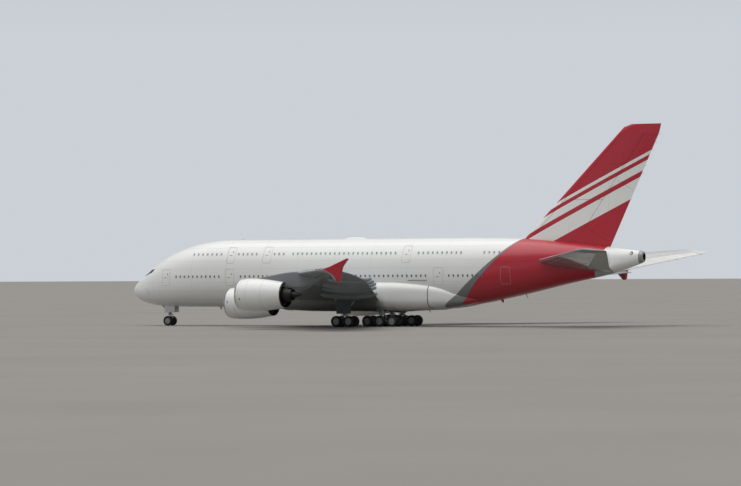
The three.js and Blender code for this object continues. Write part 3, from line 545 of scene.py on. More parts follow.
# Passenger doors: plug doors flush in the skin, with a painted outline, a small window and a handle recess.
# Their seams are beads laid along the skin, because a real one is a 5 mm gap that would not show.
# Each door gives its first and last station, its sill and top, and whether its outline is on the red.
DOORS = [
    (5.65, 6.85, 5.1, 7.15, False), (15.15, 16.4, 5.1, 7.15, False), (28.35, 29.55, 5.1, 7.15, False),
    (44.3, 45.5, 5.1, 7.2, False), (53.12, 54.33, 5.15, 7.2, True), (15.2, 16.3, 7.85, 9.85, False),
    (20.35, 21.5, 7.85, 9.85, False), (39.8, 40.95, 7.85, 9.85, False),
]
DOOR_CORNER = 0.22


def paint_line(name, colour, roughness=0.5):
    """Matt sealant or line paint, mottled as hand-laid sealant is."""
    made, tree, here = new_material(name)
    mottle = add_node(tree, "ShaderNodeTexNoise", {"Vector": here, "Scale": 12.0, "Detail": 3.0})
    share = add_node(tree, "ShaderNodeMath", (mottle, 0.35), operation="MULTIPLY")
    look = {"Base Color": coats(tree, colour, (share, "#4c4d4e")), "Roughness": roughness}
    finish(tree, look, mottle, 0.0005)
    return made


bead_tree, given = new_tree("beads", {"Radius": "Float", "Sides": "Int", "Paint": "Material"})
path = add_node(bead_tree, "GeometryNodeMeshToCurve", [given["Geometry"]])
round_profile = {"Resolution": given["Sides"], "Radius": given["Radius"]}
round_profile = add_node(bead_tree, "GeometryNodeCurvePrimitiveCircle", round_profile)
bead = add_node(bead_tree, "GeometryNodeCurveToMesh", {0: path, 1: round_profile, "Fill Caps": True})
end_tree(bead_tree, bead, given["Paint"])


def beads(name, lines, radius, material, closed=False, sides=6, body="airframe"):
    """Round beads along lines of points, such as seams, stays and hoses, riding on a body."""
    points, edges = [], []
    for line in lines:
        start = len(points)
        points += [tuple(p) for p in line]
        edges += [(start + i, start + i + 1) for i in range(len(line) - 1)]
        if closed:
            edges.append((len(points) - 1, start))
    mesh = bpy.data.meshes.new(name)
    mesh.from_pydata(points, edges, [])
    mount(grow(name, mesh, bead_tree, {"Radius": radius * SCALE, "Sides": sides, "Paint": material}), body)


def divided(line, longest, how=round):
    """A closed line in two coordinates, with points added along its longer sides."""
    fine = []
    for a, b in zip(line, line[1:] + line[:1]):
        pieces = max(1, how(math.dist(a, b) / longest))
        fine += [tuple(p + (q - p) * i / pieces for p, q in zip(a, b)) for i in range(pieces)]
    return fine


def rounded_outline(low, high, corner, steps=5):
    """A rectangle with round corners in two coordinates, as a closed line of points along its sides."""
    (x0, y0), (x1, y1) = [c + corner for c in low], [c - corner for c in high]
    line = []
    for centre, first in (((x1, y1), 0), ((x0, y1), 90), ((x0, y0), 180), ((x1, y0), 270)):
        for i in range(steps + 1):
            t = math.radians(first + 90 * i / steps)
            line.append((centre[0] + corner * math.cos(t), centre[1] + corner * math.sin(t)))
    return divided(line, 0.3)


grey_line = paint_line("grey_door_sealant", "#c2c4c3")
dark_line = paint_line("dark_panel_sealant", "#55585a")
white_line = paint_line("white_line_paint", "#e0dcdc", 0.4)
pale_line = paint_line("pale_outline_paint", "#c39aa0", 0.4)
for on_red, paint, name in ((False, grey_line, "door_outlines"), (True, pale_line, "door_outlines_on_red")):
    lines = [
        [skin_point(s, u, side, 0.002)[0] for s, u in rounded_outline((start, sill), (end, top), DOOR_CORNER)]
        for start, end, sill, top, red in DOORS
        if red == on_red
        for side in (1, -1)
    ]
    beads(name, lines, 0.02, paint, closed=True)
set_windows("door_windows", [(end - 0.36, sill + 1.42) for _, end, sill, _, _ in DOORS], 0.15, 0.24, 0.06)
handles = [
    [skin_point(start + 0.32 + 0.4 * i / 4, sill + 0.98, side, 0.004)[0] for i in range(5)]
    for start, _, sill, _, _ in DOORS
    for side in (1, -1)
]
beads("door_handles", handles, 0.03, dark_line)


# Cockpit glazing: six panes of glass-faced laminate in dark sealed frames, wrapped round the nose.
# Each pane is a patch of the skin's own curve, lifted a little, between four corners given round the frames:
# lower front, lower rear, upper rear and upper front, each as a station and degrees up from the side.
PANES = [
    ((1.62, 88.0), (1.9, 62.0), (2.62, 66.5), (2.5, 88.3)),
    ((1.95, 60.0), (2.62, 46.0), (3.2, 53.0), (2.68, 65.0)),
    ((2.72, 44.5), (3.6, 36.5), (3.95, 42.5), (3.28, 51.8)),
]
PANE_STEPS = 10


def hull_patch(corners, lift, side):
    """A grid of points of the nose's skin between four corners, each a station and an angle in degrees."""
    a, b, c, d = corners
    rows = []
    for v in np.arange(PANE_STEPS + 1) / PANE_STEPS:
        for u in np.arange(PANE_STEPS + 1) / PANE_STEPS:
            station, angle = (
                (a[k] * (1 - u) + b[k] * u) * (1 - v) + (d[k] * (1 - u) + c[k] * u) * v for k in (0, 1)
            )
            rows.append(around_hull(hull_row(station), station, math.radians(angle), grow=lift))
            rows[-1].x *= side
    return rows


def hull_plate(name, corners, material, lift, inset):
    """A thin closed plate on both sides of the nose's skin: a grid of it and the same grid lower down."""
    middle = [sum(c[i] for c in corners) / 4 for i in (0, 1)]
    corners = [[p[i] + (middle[i] - p[i]) * inset for i in (0, 1)] for p in corners]
    points, faces, steps = [], [], PANE_STEPS
    n, size = steps + 1, (steps + 1) ** 2
    edge = [j * n for j in range(n)] + [steps * n + i for i in range(1, n)]
    edge += [j * n + steps for j in range(steps - 1, -1, -1)] + list(range(steps - 1, 0, -1))
    for side in (1, -1):
        start = len(points)
        points += hull_patch(corners, lift, side) + hull_patch(corners, -0.01, side)
        for k in (start + j * n + i for j in range(steps) for i in range(steps)):
            faces += [[k, k + 1, k + n + 1, k + n], [k + size, k + n + size, k + n + 1 + size, k + 1 + size]]
        for p, q in zip(edge, edge[1:] + edge[:1]):
            faces.append([start + p, start + q, start + q + size, start + p + size])
    mount(new_piece(name, points, faces, material))


windscreen, tree, here = new_material("coated_windscreen_glass")
haze = add_node(tree, "ShaderNodeTexNoise", {"Vector": here, "Scale": 1.2, "Detail": 2.0})
tint = coats(tree, "#10151b", (haze, "#242c34"))
finish(tree, {"Base Color": tint, "Roughness": 0.05, "IOR": 1.52, "Coat Weight": 0.6})
# Black sealant for the window frames and wipers, and also the painted shade in openings: intakes, vents,
# outlets and gear wells.
black_sealant_and_shade = paint_line("black_sealant_and_painted_shade", "#1d1f21", 0.6)
for i, corners in enumerate(PANES):
    hull_plate(f"cockpit_frame_{i + 1}", corners, black_sealant_and_shade, 0.012, -0.075)
    hull_plate(f"cockpit_pane_{i + 1}", corners, windscreen, 0.024, 0.02)
arm = ((1.6, 84.0), (1.85, 79.0), (2.12, 76.0))
sweep = [around_hull(hull_row(s), s, math.radians(a), grow=0.05) for s, a in arm]
wipers = [[Vector((p.x * side, p.y, p.z)) for p in sweep] for side in (1, -1)]
beads("windscreen_wipers", wipers, 0.018, black_sealant_and_shade)


# Belly fairing: a deep glass-fibre fairing under the wing root that houses the main gear and the air packs.
# It is bolted along its edge to the fuselage, and its panels, bay doors and one wide joint show as seams.
# Its first and last frames lie inside the fuselage, so that it fades out.
BELLY = np.array([
    [17.8, 3.15, 4.2, 2.2, 0.5], [20.0, 2.75, 4.3, 2.9, 0.5], [21.6, 2.22, 4.9, 3.6, 0.5],
    [24.0, 1.95, 5.55, 3.98, 0.5], [28.0, 1.83, 5.8, 4.15, 0.5], [38.0, 1.83, 5.84, 4.2, 0.5],
    [41.0, 1.93, 5.7, 4.08, 0.5], [43.6, 2.08, 5.46, 3.86, 0.5], [45.4, 2.24, 5.05, 3.6, 0.5],
    [46.8, 2.42, 4.4, 3.2, 0.5], [48.4, 2.72, 3.95, 2.55, 0.5], [50.2, 3.2, 3.95, 1.6, 0.5],
])
BELLY_ROUNDNESS = 3.4
# The wing's painted shadow on the fairing ends at this station.
WING_SHADOW_END = 38.0
JOINT, SEAM_STATIONS, ARC = 43.6, (22.6, 26.2, 30.0), (-215, 35)
BAY_DOORS = [  # inner and outer port, first and last station
    (2.95, 3.7, 31.5, 35.4), (1.25, 2.6, 35.0, 39.0), (2.7, 3.75, 36.0, 39.0), (0.08, 1.15, 35.0, 39.0),
]


def under_belly(port, station, lift=0.0):
    """The point of the fairing's underside at a distance out to port."""
    row = row_at(BELLY, station)
    angle = -math.acos(min(1.0, (abs(port) / row[2]) ** (BELLY_ROUNDNESS / 2)))
    point = around_hull(row, station, angle, BELLY_ROUNDNESS, lift)
    point.x = math.copysign(point.x, port)
    return point


def belly_arc(station, steps):
    """A line round the fairing at a station."""
    angles = np.radians(np.linspace(*ARC, steps + 1))
    return [around_hull(row_at(BELLY, station), station, float(t), BELLY_ROUNDNESS) for t in angles]


# The fairing's paint carries the wing's painted shadow.
fairing_paint = enamel("glass_fibre_fairing_enamel", seams=False, wing_shadow_to=WING_SHADOW_END)
belly_stations = np.concatenate([np.linspace(*s) for s in ((17.8, 24, 24), (24.6, 41, 24), (41.4, 50.2, 34))])
belly_rings = [ring(row_at(BELLY, s), s, BELLY_ROUNDNESS) for s in belly_stations]
mount(loft("belly_fairing_skin", belly_rings, fairing_paint), "airframe", "belly_fairing")
beads("fairing_joint", [belly_arc(JOINT, 72)], 0.05, dark_line)
edge_bars = [[skin_point(s, 5.66, side, 0.02)[0] for s in np.linspace(40.8, 43.4, 12)] for side in (1, -1)]
beads("fairing_edge_bars", edge_bars, 0.035, dark_line)
fairing_seams = [belly_arc(s, 60) for s in SEAM_STATIONS]
for inner, outer, start, end in BAY_DOORS:
    for side in (1, -1):
        outline = rounded_outline((inner, start), (outer, end), 0.1, 3)
        fairing_seams.append([under_belly(side * p, s) for p, s in outline + outline[:1]])
beads("fairing_seams", fairing_seams, 0.018, dark_line)

# The air packs' intakes and outlets in the fairing's front corners: recessed ducts, drawn as a flat black
# sheet for the painted shade in their mouth.
mouth = rounded_outline((1.1, 23.0), (2.5, 23.5), 0.18, 4)
intakes = [[under_belly(side * p, s, 0.004) for p, s in mouth] for side in (1, -1)]
faces = [range(len(mouth)), range(len(mouth), 2 * len(mouth))]
mount(new_piece("air_intakes", intakes[0] + intakes[1], faces, black_sealant_and_shade))
beads("air_intake_lips", intakes, 0.05, fairing_paint, closed=True)


# Wings: alloy and carbon-fibre boxes in grey paint, with bare metal along the slats and a canoe fairing under
# each flap track. Ailerons and flaps are cut out of the whole wing behind their hinge lines, and starboard
# mirrors port. Each rib gives its port, leading edge, chord, height, thickness and twist in degrees.
WING_RIBS = [
    [2.9, 21.0, 15.6, 3.9, 0.155, 5.0], [9.0, 25.4, 13.7, 4.82, 0.13, 5.0],
    [14.0, 29.1, 12.1, 5.45, 0.11, 5.0], [26.0, 37.95, 8.95, 6.2, 0.1, 6.0],
    [39.3, 47.8, 4.0, 6.72, 0.09, 5.5],
]
CAMBER = 0.016
AILERONS = {"inner": (27.75, 31.15), "middle": (31.15, 34.6), "outer": (34.6, 38.0)}
AILERON_HINGE = (27.5, 38.2, 0.76)  # the two ribs that set the line, and its share of their chords
FLAPS = {"inner": (6.2, 12.2, 0.765), "outer": (14.75, 27.35, 0.745)}
TRACKS = [  # port, depth, and the tail's and the front's share of the chord, 0.3 ahead of the hinge
    (8.3, 0.95, 1.02, 0.465), (12.85, 0.9, 1.05, 0.465), (17.6, 0.9, 1.08, 0.445), (21.6, 0.82, 1.08, 0.445),
    (25.6, 0.74, 1.08, 0.445),
]
FENCE = [  # station and height round the tip fence
    (48.3, 6.88), (49.6, 7.26), (51.72, 8.15), (51.9, 8.1), (51.2, 7.2), (51.05, 6.7), (50.9, 5.65),
    (50.62, 5.5), (50.35, 5.6), (49.6, 6.42),
]
FENCE_PORTS = (39.3, 39.875)
GREY_TO_RED = (18.7, 11.14, -0.978)  # the slanted edge that the fence's red starts at
SIDES = {"left": 1, "right": -1}


def rib_at(ribs, at):
    """A flying surface's row at a place along its span."""
    table = np.array(ribs)
    return [float(np.interp(at, table[:, 0], table[:, i])) for i in range(6)]


def section_height(share, thickness, camber, side):
    """How far the skin is off the chord line, as a share of the chord: side is 1 above and -1 below."""
    terms = ((0.5, 0.2969), (1, -0.126), (2, -0.3516), (3, 0.2843), (4, -0.1015))
    curve = sum(factor * share**power for power, factor in terms)
    return camber * math.sin(math.pi * share) + side * (5 * thickness * curve + 0.0022 * share)


def surface_point(rib, share, height, upright=False):
    """A point of a flying surface. The fin stands up, so its rows are read with up and port swapped."""
    at, leading, chord, level, _, twist = rib
    tilt, aft = math.radians(twist), (share - 0.4) * chord
    station = leading + 0.4 * chord + aft * math.cos(tilt) + height * chord * math.sin(tilt)
    up = level + height * chord * math.cos(tilt) - aft * math.sin(tilt)
    return place(up, station, at) if upright else place(at, station, up)


def flying_surface(name, ribs, material, camber=0.0, upright=False, around=26, pitch=0.8):
    """A closed flying surface, with a ring of points for each rib and some between the ribs."""
    ends = [rib[0] for rib in ribs]
    rings = []
    for at in sorted({*ends, *np.arange(ends[0] + pitch, ends[-1] - pitch / 2, pitch)}):
        rib = rib_at(ribs, at)
        rings.append([])
        for i in [*range(around, -around, -1), -around]:
            share = (1 - math.cos(math.pi * abs(i) / around)) / 2
            height = section_height(share, rib[4], camber, (i > 0) - (i < 0))
            rings[-1].append(surface_point(rib, share, height, upright))
    return loft(name, rings, material)


def hinge_stop(ribs, at, share, camber=0.0, upright=False):
    """Where a hinge line crosses a rib, in the middle of the section, and half the thickness there."""
    rib = rib_at(ribs, at)
    middle = surface_point(rib, share, camber * math.sin(math.pi * share), upright)
    return middle, section_height(share, rib[4], 0, 1) * rib[2]


def between(first, second, share):
    """A hinge stop part of the way from one to another."""
    return first[0].lerp(second[0], share), first[1] + (second[1] - first[1]) * share


def behind(start, end, inset=0.0, forward=0.0):
    """A block behind a hinge line with square ends, to cut with."""
    along = (end - start).normalized()
    aft = (Vector((0, 1, 0)) - along * along.y).normalized()
    third = along.cross(aft)
    corners = ((-forward, -2.5), (7, -2.5), (7, 2.5), (-forward, 2.5))
    ends = (start + along * inset * SCALE, end - along * inset * SCALE)
    return loft("behind", [[e + (aft * a + third * t) * SCALE for a, t in corners] for e in ends], dark_line)


def copied(piece, name):
    """A copy of a piece with a mesh of its own."""
    return new_object(name, piece.data.copy())


def cut_surface(whole, name, start, end):
    """The part of a flying surface behind two hinge stops, with a round nose on the line."""
    tool = loft("nose", bar(start[0], end[0], start[1], end[1], 48, CLEAR), dark_line)
    return carve(copied(whole, name), carve(tool, behind(start[0], end[0], CLEAR), "UNION"), "INTERSECT")


def cove(whole, start, end):
    """Takes the place of a control surface out of the whole, with the open cove its nose turns in."""
    grown = [(half + CLEAR) / math.cos(math.pi / 48) for half in (start[1], end[1])]
    tool = loft("cove", bar(start[0], end[0], *grown, 48), dark_line)
    carve(whole, carve(tool, behind(start[0], end[0]), "UNION"))


def on_surface(ribs, at, share, skin, side=1, lift=0.004, camber=0.0, upright=False):
    """A point on a flying surface: skin is 1 above or to port and -1 below, and side -1 is starboard."""
    rib = rib_at(ribs, at)
    height = section_height(share, rib[4], camber, skin) + skin * lift / rib[2]
    point = surface_point(rib, share, height, upright)
    point.x *= side
    return point


def surface_lines(ribs, lines, steps=14, **how):
    """Lines on both sides of the aircraft, each from a place on the span and a share of the chord to another.
    After these a line may give its own number of steps, and the one skin that it is on."""
    made = []
    for at_a, share_a, at_b, share_b, *own in lines:
        number, skins_of = own or (steps, (1, -1))
        places = list(zip(np.linspace(at_a, at_b, number + 1), np.linspace(share_a, share_b, number + 1)))
        for side in (1,) if how.get("upright") else (1, -1):
            for skin in skins_of:
                made.append([on_surface(ribs, at, share, skin, side, **how) for at, share in places])
    return made


def sectioned(piece, ribs, upright=False):
    """Tells each point of a piece its share of the chord, its place on the span and its height off it."""
    values = []
    for vertex in piece.data.vertices:
        at, height = (vertex.co.z, vertex.co.x) if upright else (abs(vertex.co.x), vertex.co.z)
        rib = rib_at(ribs, at / SCALE)
        share = (vertex.co.y / SCALE - NOSE - rib[1]) / rib[2]
        middle = rib[3] - (share - 0.4) * rib[2] * math.sin(math.radians(rib[5]))
        values += [share, at / SCALE, height / SCALE - middle]
    section = piece.data.attributes.new("section", "FLOAT_VECTOR", "POINT")
    section.data.foreach_set("vector", values)
    return piece


# Polyurethane paint, satin and dusty in streaks. The slats' front edge is bare aluminium, bright from rain.
def surface_paint(name, colour, edge_share, edge_colour, under=None, coat=0.15):
    """Paint for a flying surface, with bare metal along its front edge, and another colour below if given."""
    made, tree, here = new_material(name)
    section = add_node(tree, "ShaderNodeAttribute", attribute_name="section")["Vector"]
    parts = add_node(tree, "ShaderNodeSeparateXYZ", [section])
    edge = add_node(tree, "ShaderNodeMath", (parts["X"], edge_share), operation="LESS_THAN")
    stretched = add_node(tree, "ShaderNodeMapping", {"Vector": here, "Scale": (1.4, 0.22, 1.0)})
    texture = {"Vector": stretched, "Scale": 1.1, "Detail": 7.0, "Roughness": 0.6}
    streaks = add_node(tree, "ShaderNodeTexNoise", texture)
    dirt = add_node(tree, "ShaderNodeMapRange", (streaks, 0.35, 0.75))
    if under:
        below = add_node(tree, "ShaderNodeMath", (parts["Z"], 0.0), operation="LESS_THAN")
        colour = coats(tree, colour, (below, under))
    on_paint = add_node(tree, "ShaderNodeMath", (dirt, 0.28), operation="MULTIPLY")
    on_metal = add_node(tree, "ShaderNodeMath", (dirt, 0.3), operation="MULTIPLY")
    bare = coats(tree, edge_colour, (on_metal, "#8c8f92"))
    look = {
        "Base Color": coats(tree, colour, (on_paint, "#5f6365"), (edge, bare)),
        "Metallic": add_node(tree, "ShaderNodeMath", (edge, 0.85), operation="MULTIPLY"),
        "Roughness": add_node(tree, "ShaderNodeMapRange", (streaks, 0, 1, 0.32, 0.5)),
        "Coat Weight": coat,
    }
    finish(tree, look, streaks, 0.0008)
    return made


wing_paint = surface_paint("grey_wing_enamel", "#8f9498", 0.028, "#c9ccce")
whole_wing = flying_surface("wing_skin_left", WING_RIBS, wing_paint, CAMBER)
moving_parts = {}
first, last, hinge_share = AILERON_HINGE
aileron_stops = [hinge_stop(WING_RIBS, at, hinge_share, CAMBER) for at in (first, last)]
for name, ends in AILERONS.items():
    line = [between(*aileron_stops, (at - first) / (last - first)) for at in ends]
    moving_parts[f"{name}_aileron"] = cut_surface(whole_wing, f"{name}_aileron_skin_left", *line)
ends = (AILERONS["inner"][0], AILERONS["outer"][1])
cove(whole_wing, *(between(*aileron_stops, (at - first) / (last - first)) for at in ends))

for port, depth, tail_share, front_share in TRACKS:
    rib = rib_at(WING_RIBS, port)
    front, tail = (rib[1] + share * rib[2] for share in (front_share, tail_share))
    share = front_share + 0.3
    bottom = surface_point(rib, share, section_height(share, rib[4], CAMBER, -1)).z / SCALE
    rows = []
    for step in np.linspace(0, 1, 26):
        width = max(0.06, 0.42 * math.sin(math.pi * min(1, step * 0.92 + 0.06)))
        drop = depth * math.sin(math.pi * (0.12 + step * 0.8)) ** 0.7 / 2
        station, up = front + (tail - front) * step, bottom + 0.3 - drop
        round_it = turns(24, -math.pi / 2)
        rows.append([place(port + width * math.cos(t), station, up + drop * math.sin(t)) for t in round_it])
    carve(whole_wing, loft("canoe", rows, wing_paint), "UNION")
for name, (start, end, share) in FLAPS.items():
    line = [hinge_stop(WING_RIBS, at, share, CAMBER)[0] for at in (start, end)]
    flap = copied(whole_wing, f"{name}_flap_skin_left")
    moving_parts[f"{name}_flap"] = carve(flap, behind(*line, CLEAR, -CLEAR), "INTERSECT")
    carve(whole_wing, behind(*line))


def both_sides(piece, node, body=None):
    """Puts a port piece and its mirror in the place of the CAD's two nodes, on their own bodies or on one."""
    mount(piece, body or f"{node}_left", f"{node}_left")
    mirror = copied(piece, piece.name.replace("left", "right"))
    mirror.data.transform(Matrix.Diagonal((-1, 1, 1, 1)))
    mirror.data.flip_normals()
    mount(mirror, body or f"{node}_right", f"{node}_right")


both_sides(sectioned(whole_wing, WING_RIBS), "wing", "airframe")
for name, piece in moving_parts.items():
    both_sides(sectioned(piece, WING_RIBS), name)

# Seams of the slats, the droop nose, the spoilers and the box's skin panels, above and below.
SLATS = (3.9, 8.6, 13.6, 16.2, 19.6, 22.9, 27.0, 30.9, 34.9, 38.6)  # ports of the gaps between them
SPOILERS = (6.3, 9.2, 12.1, 14.9, 17.3, 19.8, 22.4, 24.9, 27.2)
PANELS = (6.5, 10.2, 14.3, 20.3, 26.4, 32.0, 36.5)
BOTH, ABOVE, BELOW = (1, -1), (1,), (-1,)
wing_seams = [
    (3.9, 0.1, 13.6, 0.12, 20, BOTH), (16.2, 0.13, 38.6, 0.15, 40, BOTH), (4.6, 0.36, 38.0, 0.4, 40, ABOVE),
    (4.6, 0.16, 26.0, 0.17, 30, BELOW), (4.6, 0.62, 38.0, 0.66, 40, BELOW), (6.3, 0.6, 12.1, 0.6, 14, ABOVE),
    (14.9, 0.6, 27.2, 0.6, 20, ABOVE), *((p, 0.0, p, 0.1 if p < 14 else 0.14, 10, BOTH) for p in SLATS),
    *((p, 0.16, p, 0.6, 14, ABOVE) for p in PANELS), *((p, 0.6, p, 0.735, 8, ABOVE) for p in SPOILERS),
]
beads("wing_seams", surface_lines(WING_RIBS, wing_seams, camber=CAMBER), 0.016, dark_line, sides=4)

# Oval manhole covers of the fuel tanks, bolted under each wing in two rows along the box.
manholes = []
for port in np.arange(7.0, 37.0, 1.25):
    chord = rib_at(WING_RIBS, port)[2]
    oval = [(port + 0.14 * math.cos(t), 0.22 * math.sin(t) / chord) for t in turns(14)]
    if all(abs(port - pylon) > 0.9 for pylon in (14.9, 25.7)):
        for share, side in ((0.27, 1), (0.27, -1), (0.48, 1), (0.48, -1)):
            manholes.append([on_surface(WING_RIBS, p, share + s, -1, side, camber=CAMBER) for p, s in oval])
beads("tank_manholes", manholes, 0.014, dark_line, closed=True, sides=4)


# Tip fences: a thin composite arrowhead above and below each wing's tip, bolted on, in red enamel, with the
# navigation lamps' glass in front of its root.
red_paint = enamel("red_fence_enamel", RED, red_from=GREY_TO_RED)


def rounded_plate(name, outline, port_low, port_high, edge, material, steps=6):
    """A plate standing fore and aft with a rounded edge, drawn as stations and heights of its widest line."""
    middle, half = (port_low + port_high) / 2, (port_high - port_low) / 2
    fine = divided(outline, 0.25, int)
    inward = []
    for (s0, u0), (s1, u1) in zip(fine[-1:] + fine[:-1], fine[1:] + fine[:1]):
        length = math.hypot(s1 - s0, u1 - u0)
        inward.append(((u1 - u0) / length, -(s1 - s0) / length))
    rings = []
    for k in range(2 * steps + 1):
        turn = math.pi * k / (2 * steps)
        step_in, out = edge * (1 - math.sin(turn)), middle + half * math.cos(turn)
        rings.append([place(out, s + step_in * a, u + step_in * b) for (s, u), (a, b) in zip(fine, inward)])
    return loft(name, rings, material, 50)


fence = rounded_plate("tip_fence_skin_left", FENCE, *FENCE_PORTS, 0.09, red_paint)
both_sides(fence, "tip_fence", "airframe")
# Pressed glass, glossy, with fine ribs in it.
lamp_glass = {}
for name, colour in (("red", "#c8201c"), ("green", "#1c9a4a"), ("clear", "#dfe4e6")):
    lamp_glass[name], tree, here = new_material(f"{name}_lamp_glass")
    ribbed = add_node(tree, "ShaderNodeTexWave", {"Vector": here, "Scale": 14.0})
    finish(tree, {"Base Color": colour, "Roughness": 0.08, "IOR": 1.5, "Coat Weight": 0.5}, ribbed, 0.0004)


def lamp(name, at, radius, length, glass, along=Vector((0, 1, 0))):
    """A glass dome: a half of a long ellipsoid of revolution, standing on its flat back."""
    rings = []
    for k in range(9):
        turn = math.pi / 2 * k / 8 * 0.98
        a = at - along * length * SCALE * math.sin(turn)
        rings.append(bar(a, a + along, radius * math.cos(turn), radius, 20)[0])
    mount(loft(name, rings, lamp_glass[glass]))


for (side, sign), glass in zip(SIDES.items(), ("red", "green")):
    tip = on_surface(WING_RIBS, 38.9, 0.02, 1, sign, 0, CAMBER)
    lamp(f"tip_lamp_{side}", tip, 0.07, 0.26, glass)
    lamp(f"tail_facing_lamp_{side}", place(sign * 39.2, 51.55, 6.76), 0.06, -0.16, "clear")


# Engines: composite cowls in white enamel with a bare aluminium intake lip, a perforated duct and a titanium
# core whose nozzle is open round its plug. Each hangs on a pylon, and the same parts are set down four times.
# Each engine gives its port, its intake lip's station and its axis height.
ENGINES = {"inner": (14.9, 22.45, 2.98), "outer": (25.7, 30.15, 4.05)}
COWL_END = 6.1
COWL_OUTSIDE = np.array([[0.5, 1.84], [1.5, 1.9], [3.2, 1.85], [COWL_END, 1.5]])  # aft of the lip, radius
COWL_INSIDE = np.array([[0.3, 1.5], [1.9, 1.52], [3.4, 1.58], [COWL_END, 1.46]])
LIP, CURL_OUT, CURL_IN = 1.62, 0.5, 0.3  # its radius, and how far aft it curls outside and inside
CORE_SKIN = np.array([[2.05, 0.62], [3.0, 0.98], [4.6, 1.06], [5.9, 0.94], [7.0, 0.66]])
PLUG = np.array([[6.2, 0.5], [7.05, 0.42], [7.8, 0.17], [8.2, 0.05]])
NOZZLE_DEPTH = 0.8
BLADES, VANES = 24, 30
BLADE_FRONT, BLADE_REAR, BLADE_LEAN = 1.52, 1.84, 13
SPINNER_TIP, SPINNER_LENGTH, SPINNER_RADIUS = 0.85, 0.65, 0.5


def radius_at(table, aft):
    """The radius of a round skin at a distance aft."""
    return float(row_at(table, aft)[0])


def lathe(name, profile, material, steps=72, axis="Y", smooth_below=35, closed=False):
    """A round piece about an axis through the origin, from distances along it and radii, lidded or closed."""
    points, rows = [], len(profile)
    for along, radius in profile:
        for t in turns(steps):
            a, b = radius * math.cos(t), radius * math.sin(t)
            points.append(Vector((along, a, b) if axis == "X" else (a, along, b)) * SCALE)
    faces = []
    for r in range(rows if closed else rows - 1):
        for i in range(steps):
            j, n = (i + 1) % steps, (r + 1) % rows
            faces.append([r * steps + i, r * steps + j, n * steps + j, n * steps + i])
    if not closed:
        faces += [list(range(steps)), list(range((rows - 1) * steps, rows * steps))]
    return new_piece(name, points, faces, material, smooth_below)


def joined(name, pieces):
    """One piece made of several, with all their materials."""
    whole, materials = bmesh.new(), []
    for piece in pieces:
        first = len(whole.faces)
        whole.from_mesh(piece.data)
        whole.faces.ensure_lookup_table()
        materials += [material for material in piece.data.materials if material not in materials]
        slots = [materials.index(material) for material in piece.data.materials]
        for face in whole.faces[first:]:
            face.material_index = slots[face.material_index]
        bpy.data.objects.remove(piece)
    mesh = bpy.data.meshes.new(name)
    whole.to_mesh(mesh)
    whole.free()
    for material in materials:
        mesh.materials.append(material)
    return new_object(name, mesh)


def moved(piece, name, at):
    """A copy of a piece made about the origin, with its mesh moved to a point."""
    made = copied(piece, name)
    made.data.transform(Matrix.Translation(at))
    return made


spin_tree, given = new_tree("spin", {"Count": "Int", "Axis": "Vector", "Paint": "Material"})
centre = add_node(spin_tree, "GeometryNodePoints", {"Count": given["Count"]})
step = add_node(spin_tree, "ShaderNodeMath", (2 * math.pi, given["Count"]), operation="DIVIDE")
number = add_node(spin_tree, "GeometryNodeInputIndex")
angle = add_node(spin_tree, "ShaderNodeMath", (number, step), operation="MULTIPLY")
turned = add_node(spin_tree, "FunctionNodeAxisAngleToRotation", {"Axis": given["Axis"], "Angle": angle})
set_round = {"Points": centre, "Instance": given["Geometry"], "Rotation": turned}
end_tree(spin_tree, add_node(spin_tree, "GeometryNodeInstanceOnPoints", set_round), given["Paint"])


def spun(piece, count, material, axis=(0, 1, 0)):
    """Copies of a piece round an axis through the origin, as one piece."""
    made = grow(piece.name, piece.data, spin_tree, {"Count": count, "Axis": axis, "Paint": material})
    bpy.data.objects.remove(piece)
    return made


def metal(name, colour, other, roughness, scale=3.0, metallic=1.0):
    """Bare or thinly painted metal, clouded between two colours."""
    made, tree, here = new_material(name)
    cloud = add_node(tree, "ShaderNodeTexNoise", {"Vector": here, "Scale": scale, "Detail": 5.0})
    gloss = add_node(tree, "ShaderNodeMapRange", (cloud, 0, 1, roughness, roughness + 0.15))
    clouded = coats(tree, colour, (cloud, other))
    finish(tree, {"Base Color": clouded, "Metallic": metallic, "Roughness": gloss})
    return made


# The lip is bright and clean, the core brown with heat and darkened further as painted shade, the nozzle's
# inside dull with soot, the blades satin grey, and the spinner black.
cowl_paint = enamel("white_cowl_enamel", seams=False)
bare_aluminium = metal("bare_lip_aluminium", "#c4c7c9", "#a9adb0", 0.22)
titanium = metal("heat_tinted_and_shaded_titanium", "#45413e", "#2f2f33", 0.42, 1.2)
sooty = metal("sooty_nickel_alloy", "#2a2827", "#1c1b1b", 0.6, 4.0, 0.6)
blade_metal = metal("titanium_fan_blades", "#6f7276", "#5c5f63", 0.3)
spinner_paint = metal("black_spinner_paint", "#1d1f21", "#26282b", 0.32, 6.0, 0.0)

# Sound-absorbing duct liner: grey, with its fine holes drawn as a dark dot every 6 cm, far coarser than real.
liner, tree, here = new_material("perforated_duct_liner")
holes = add_node(tree, "ShaderNodeTexVoronoi", {"Vector": here, "Scale": 16.0, "Randomness": 0.0})
dots = add_node(tree, "ShaderNodeMath", (holes, 0.22), operation="LESS_THAN")
sunk = add_node(tree, "ShaderNodeMath", (dots, -1.0), operation="MULTIPLY")
look = {"Base Color": coats(tree, "#7d8184", (dots, "#3a3d40")), "Roughness": 0.6, "Metallic": 0.2}
finish(tree, look, sunk, 0.001)

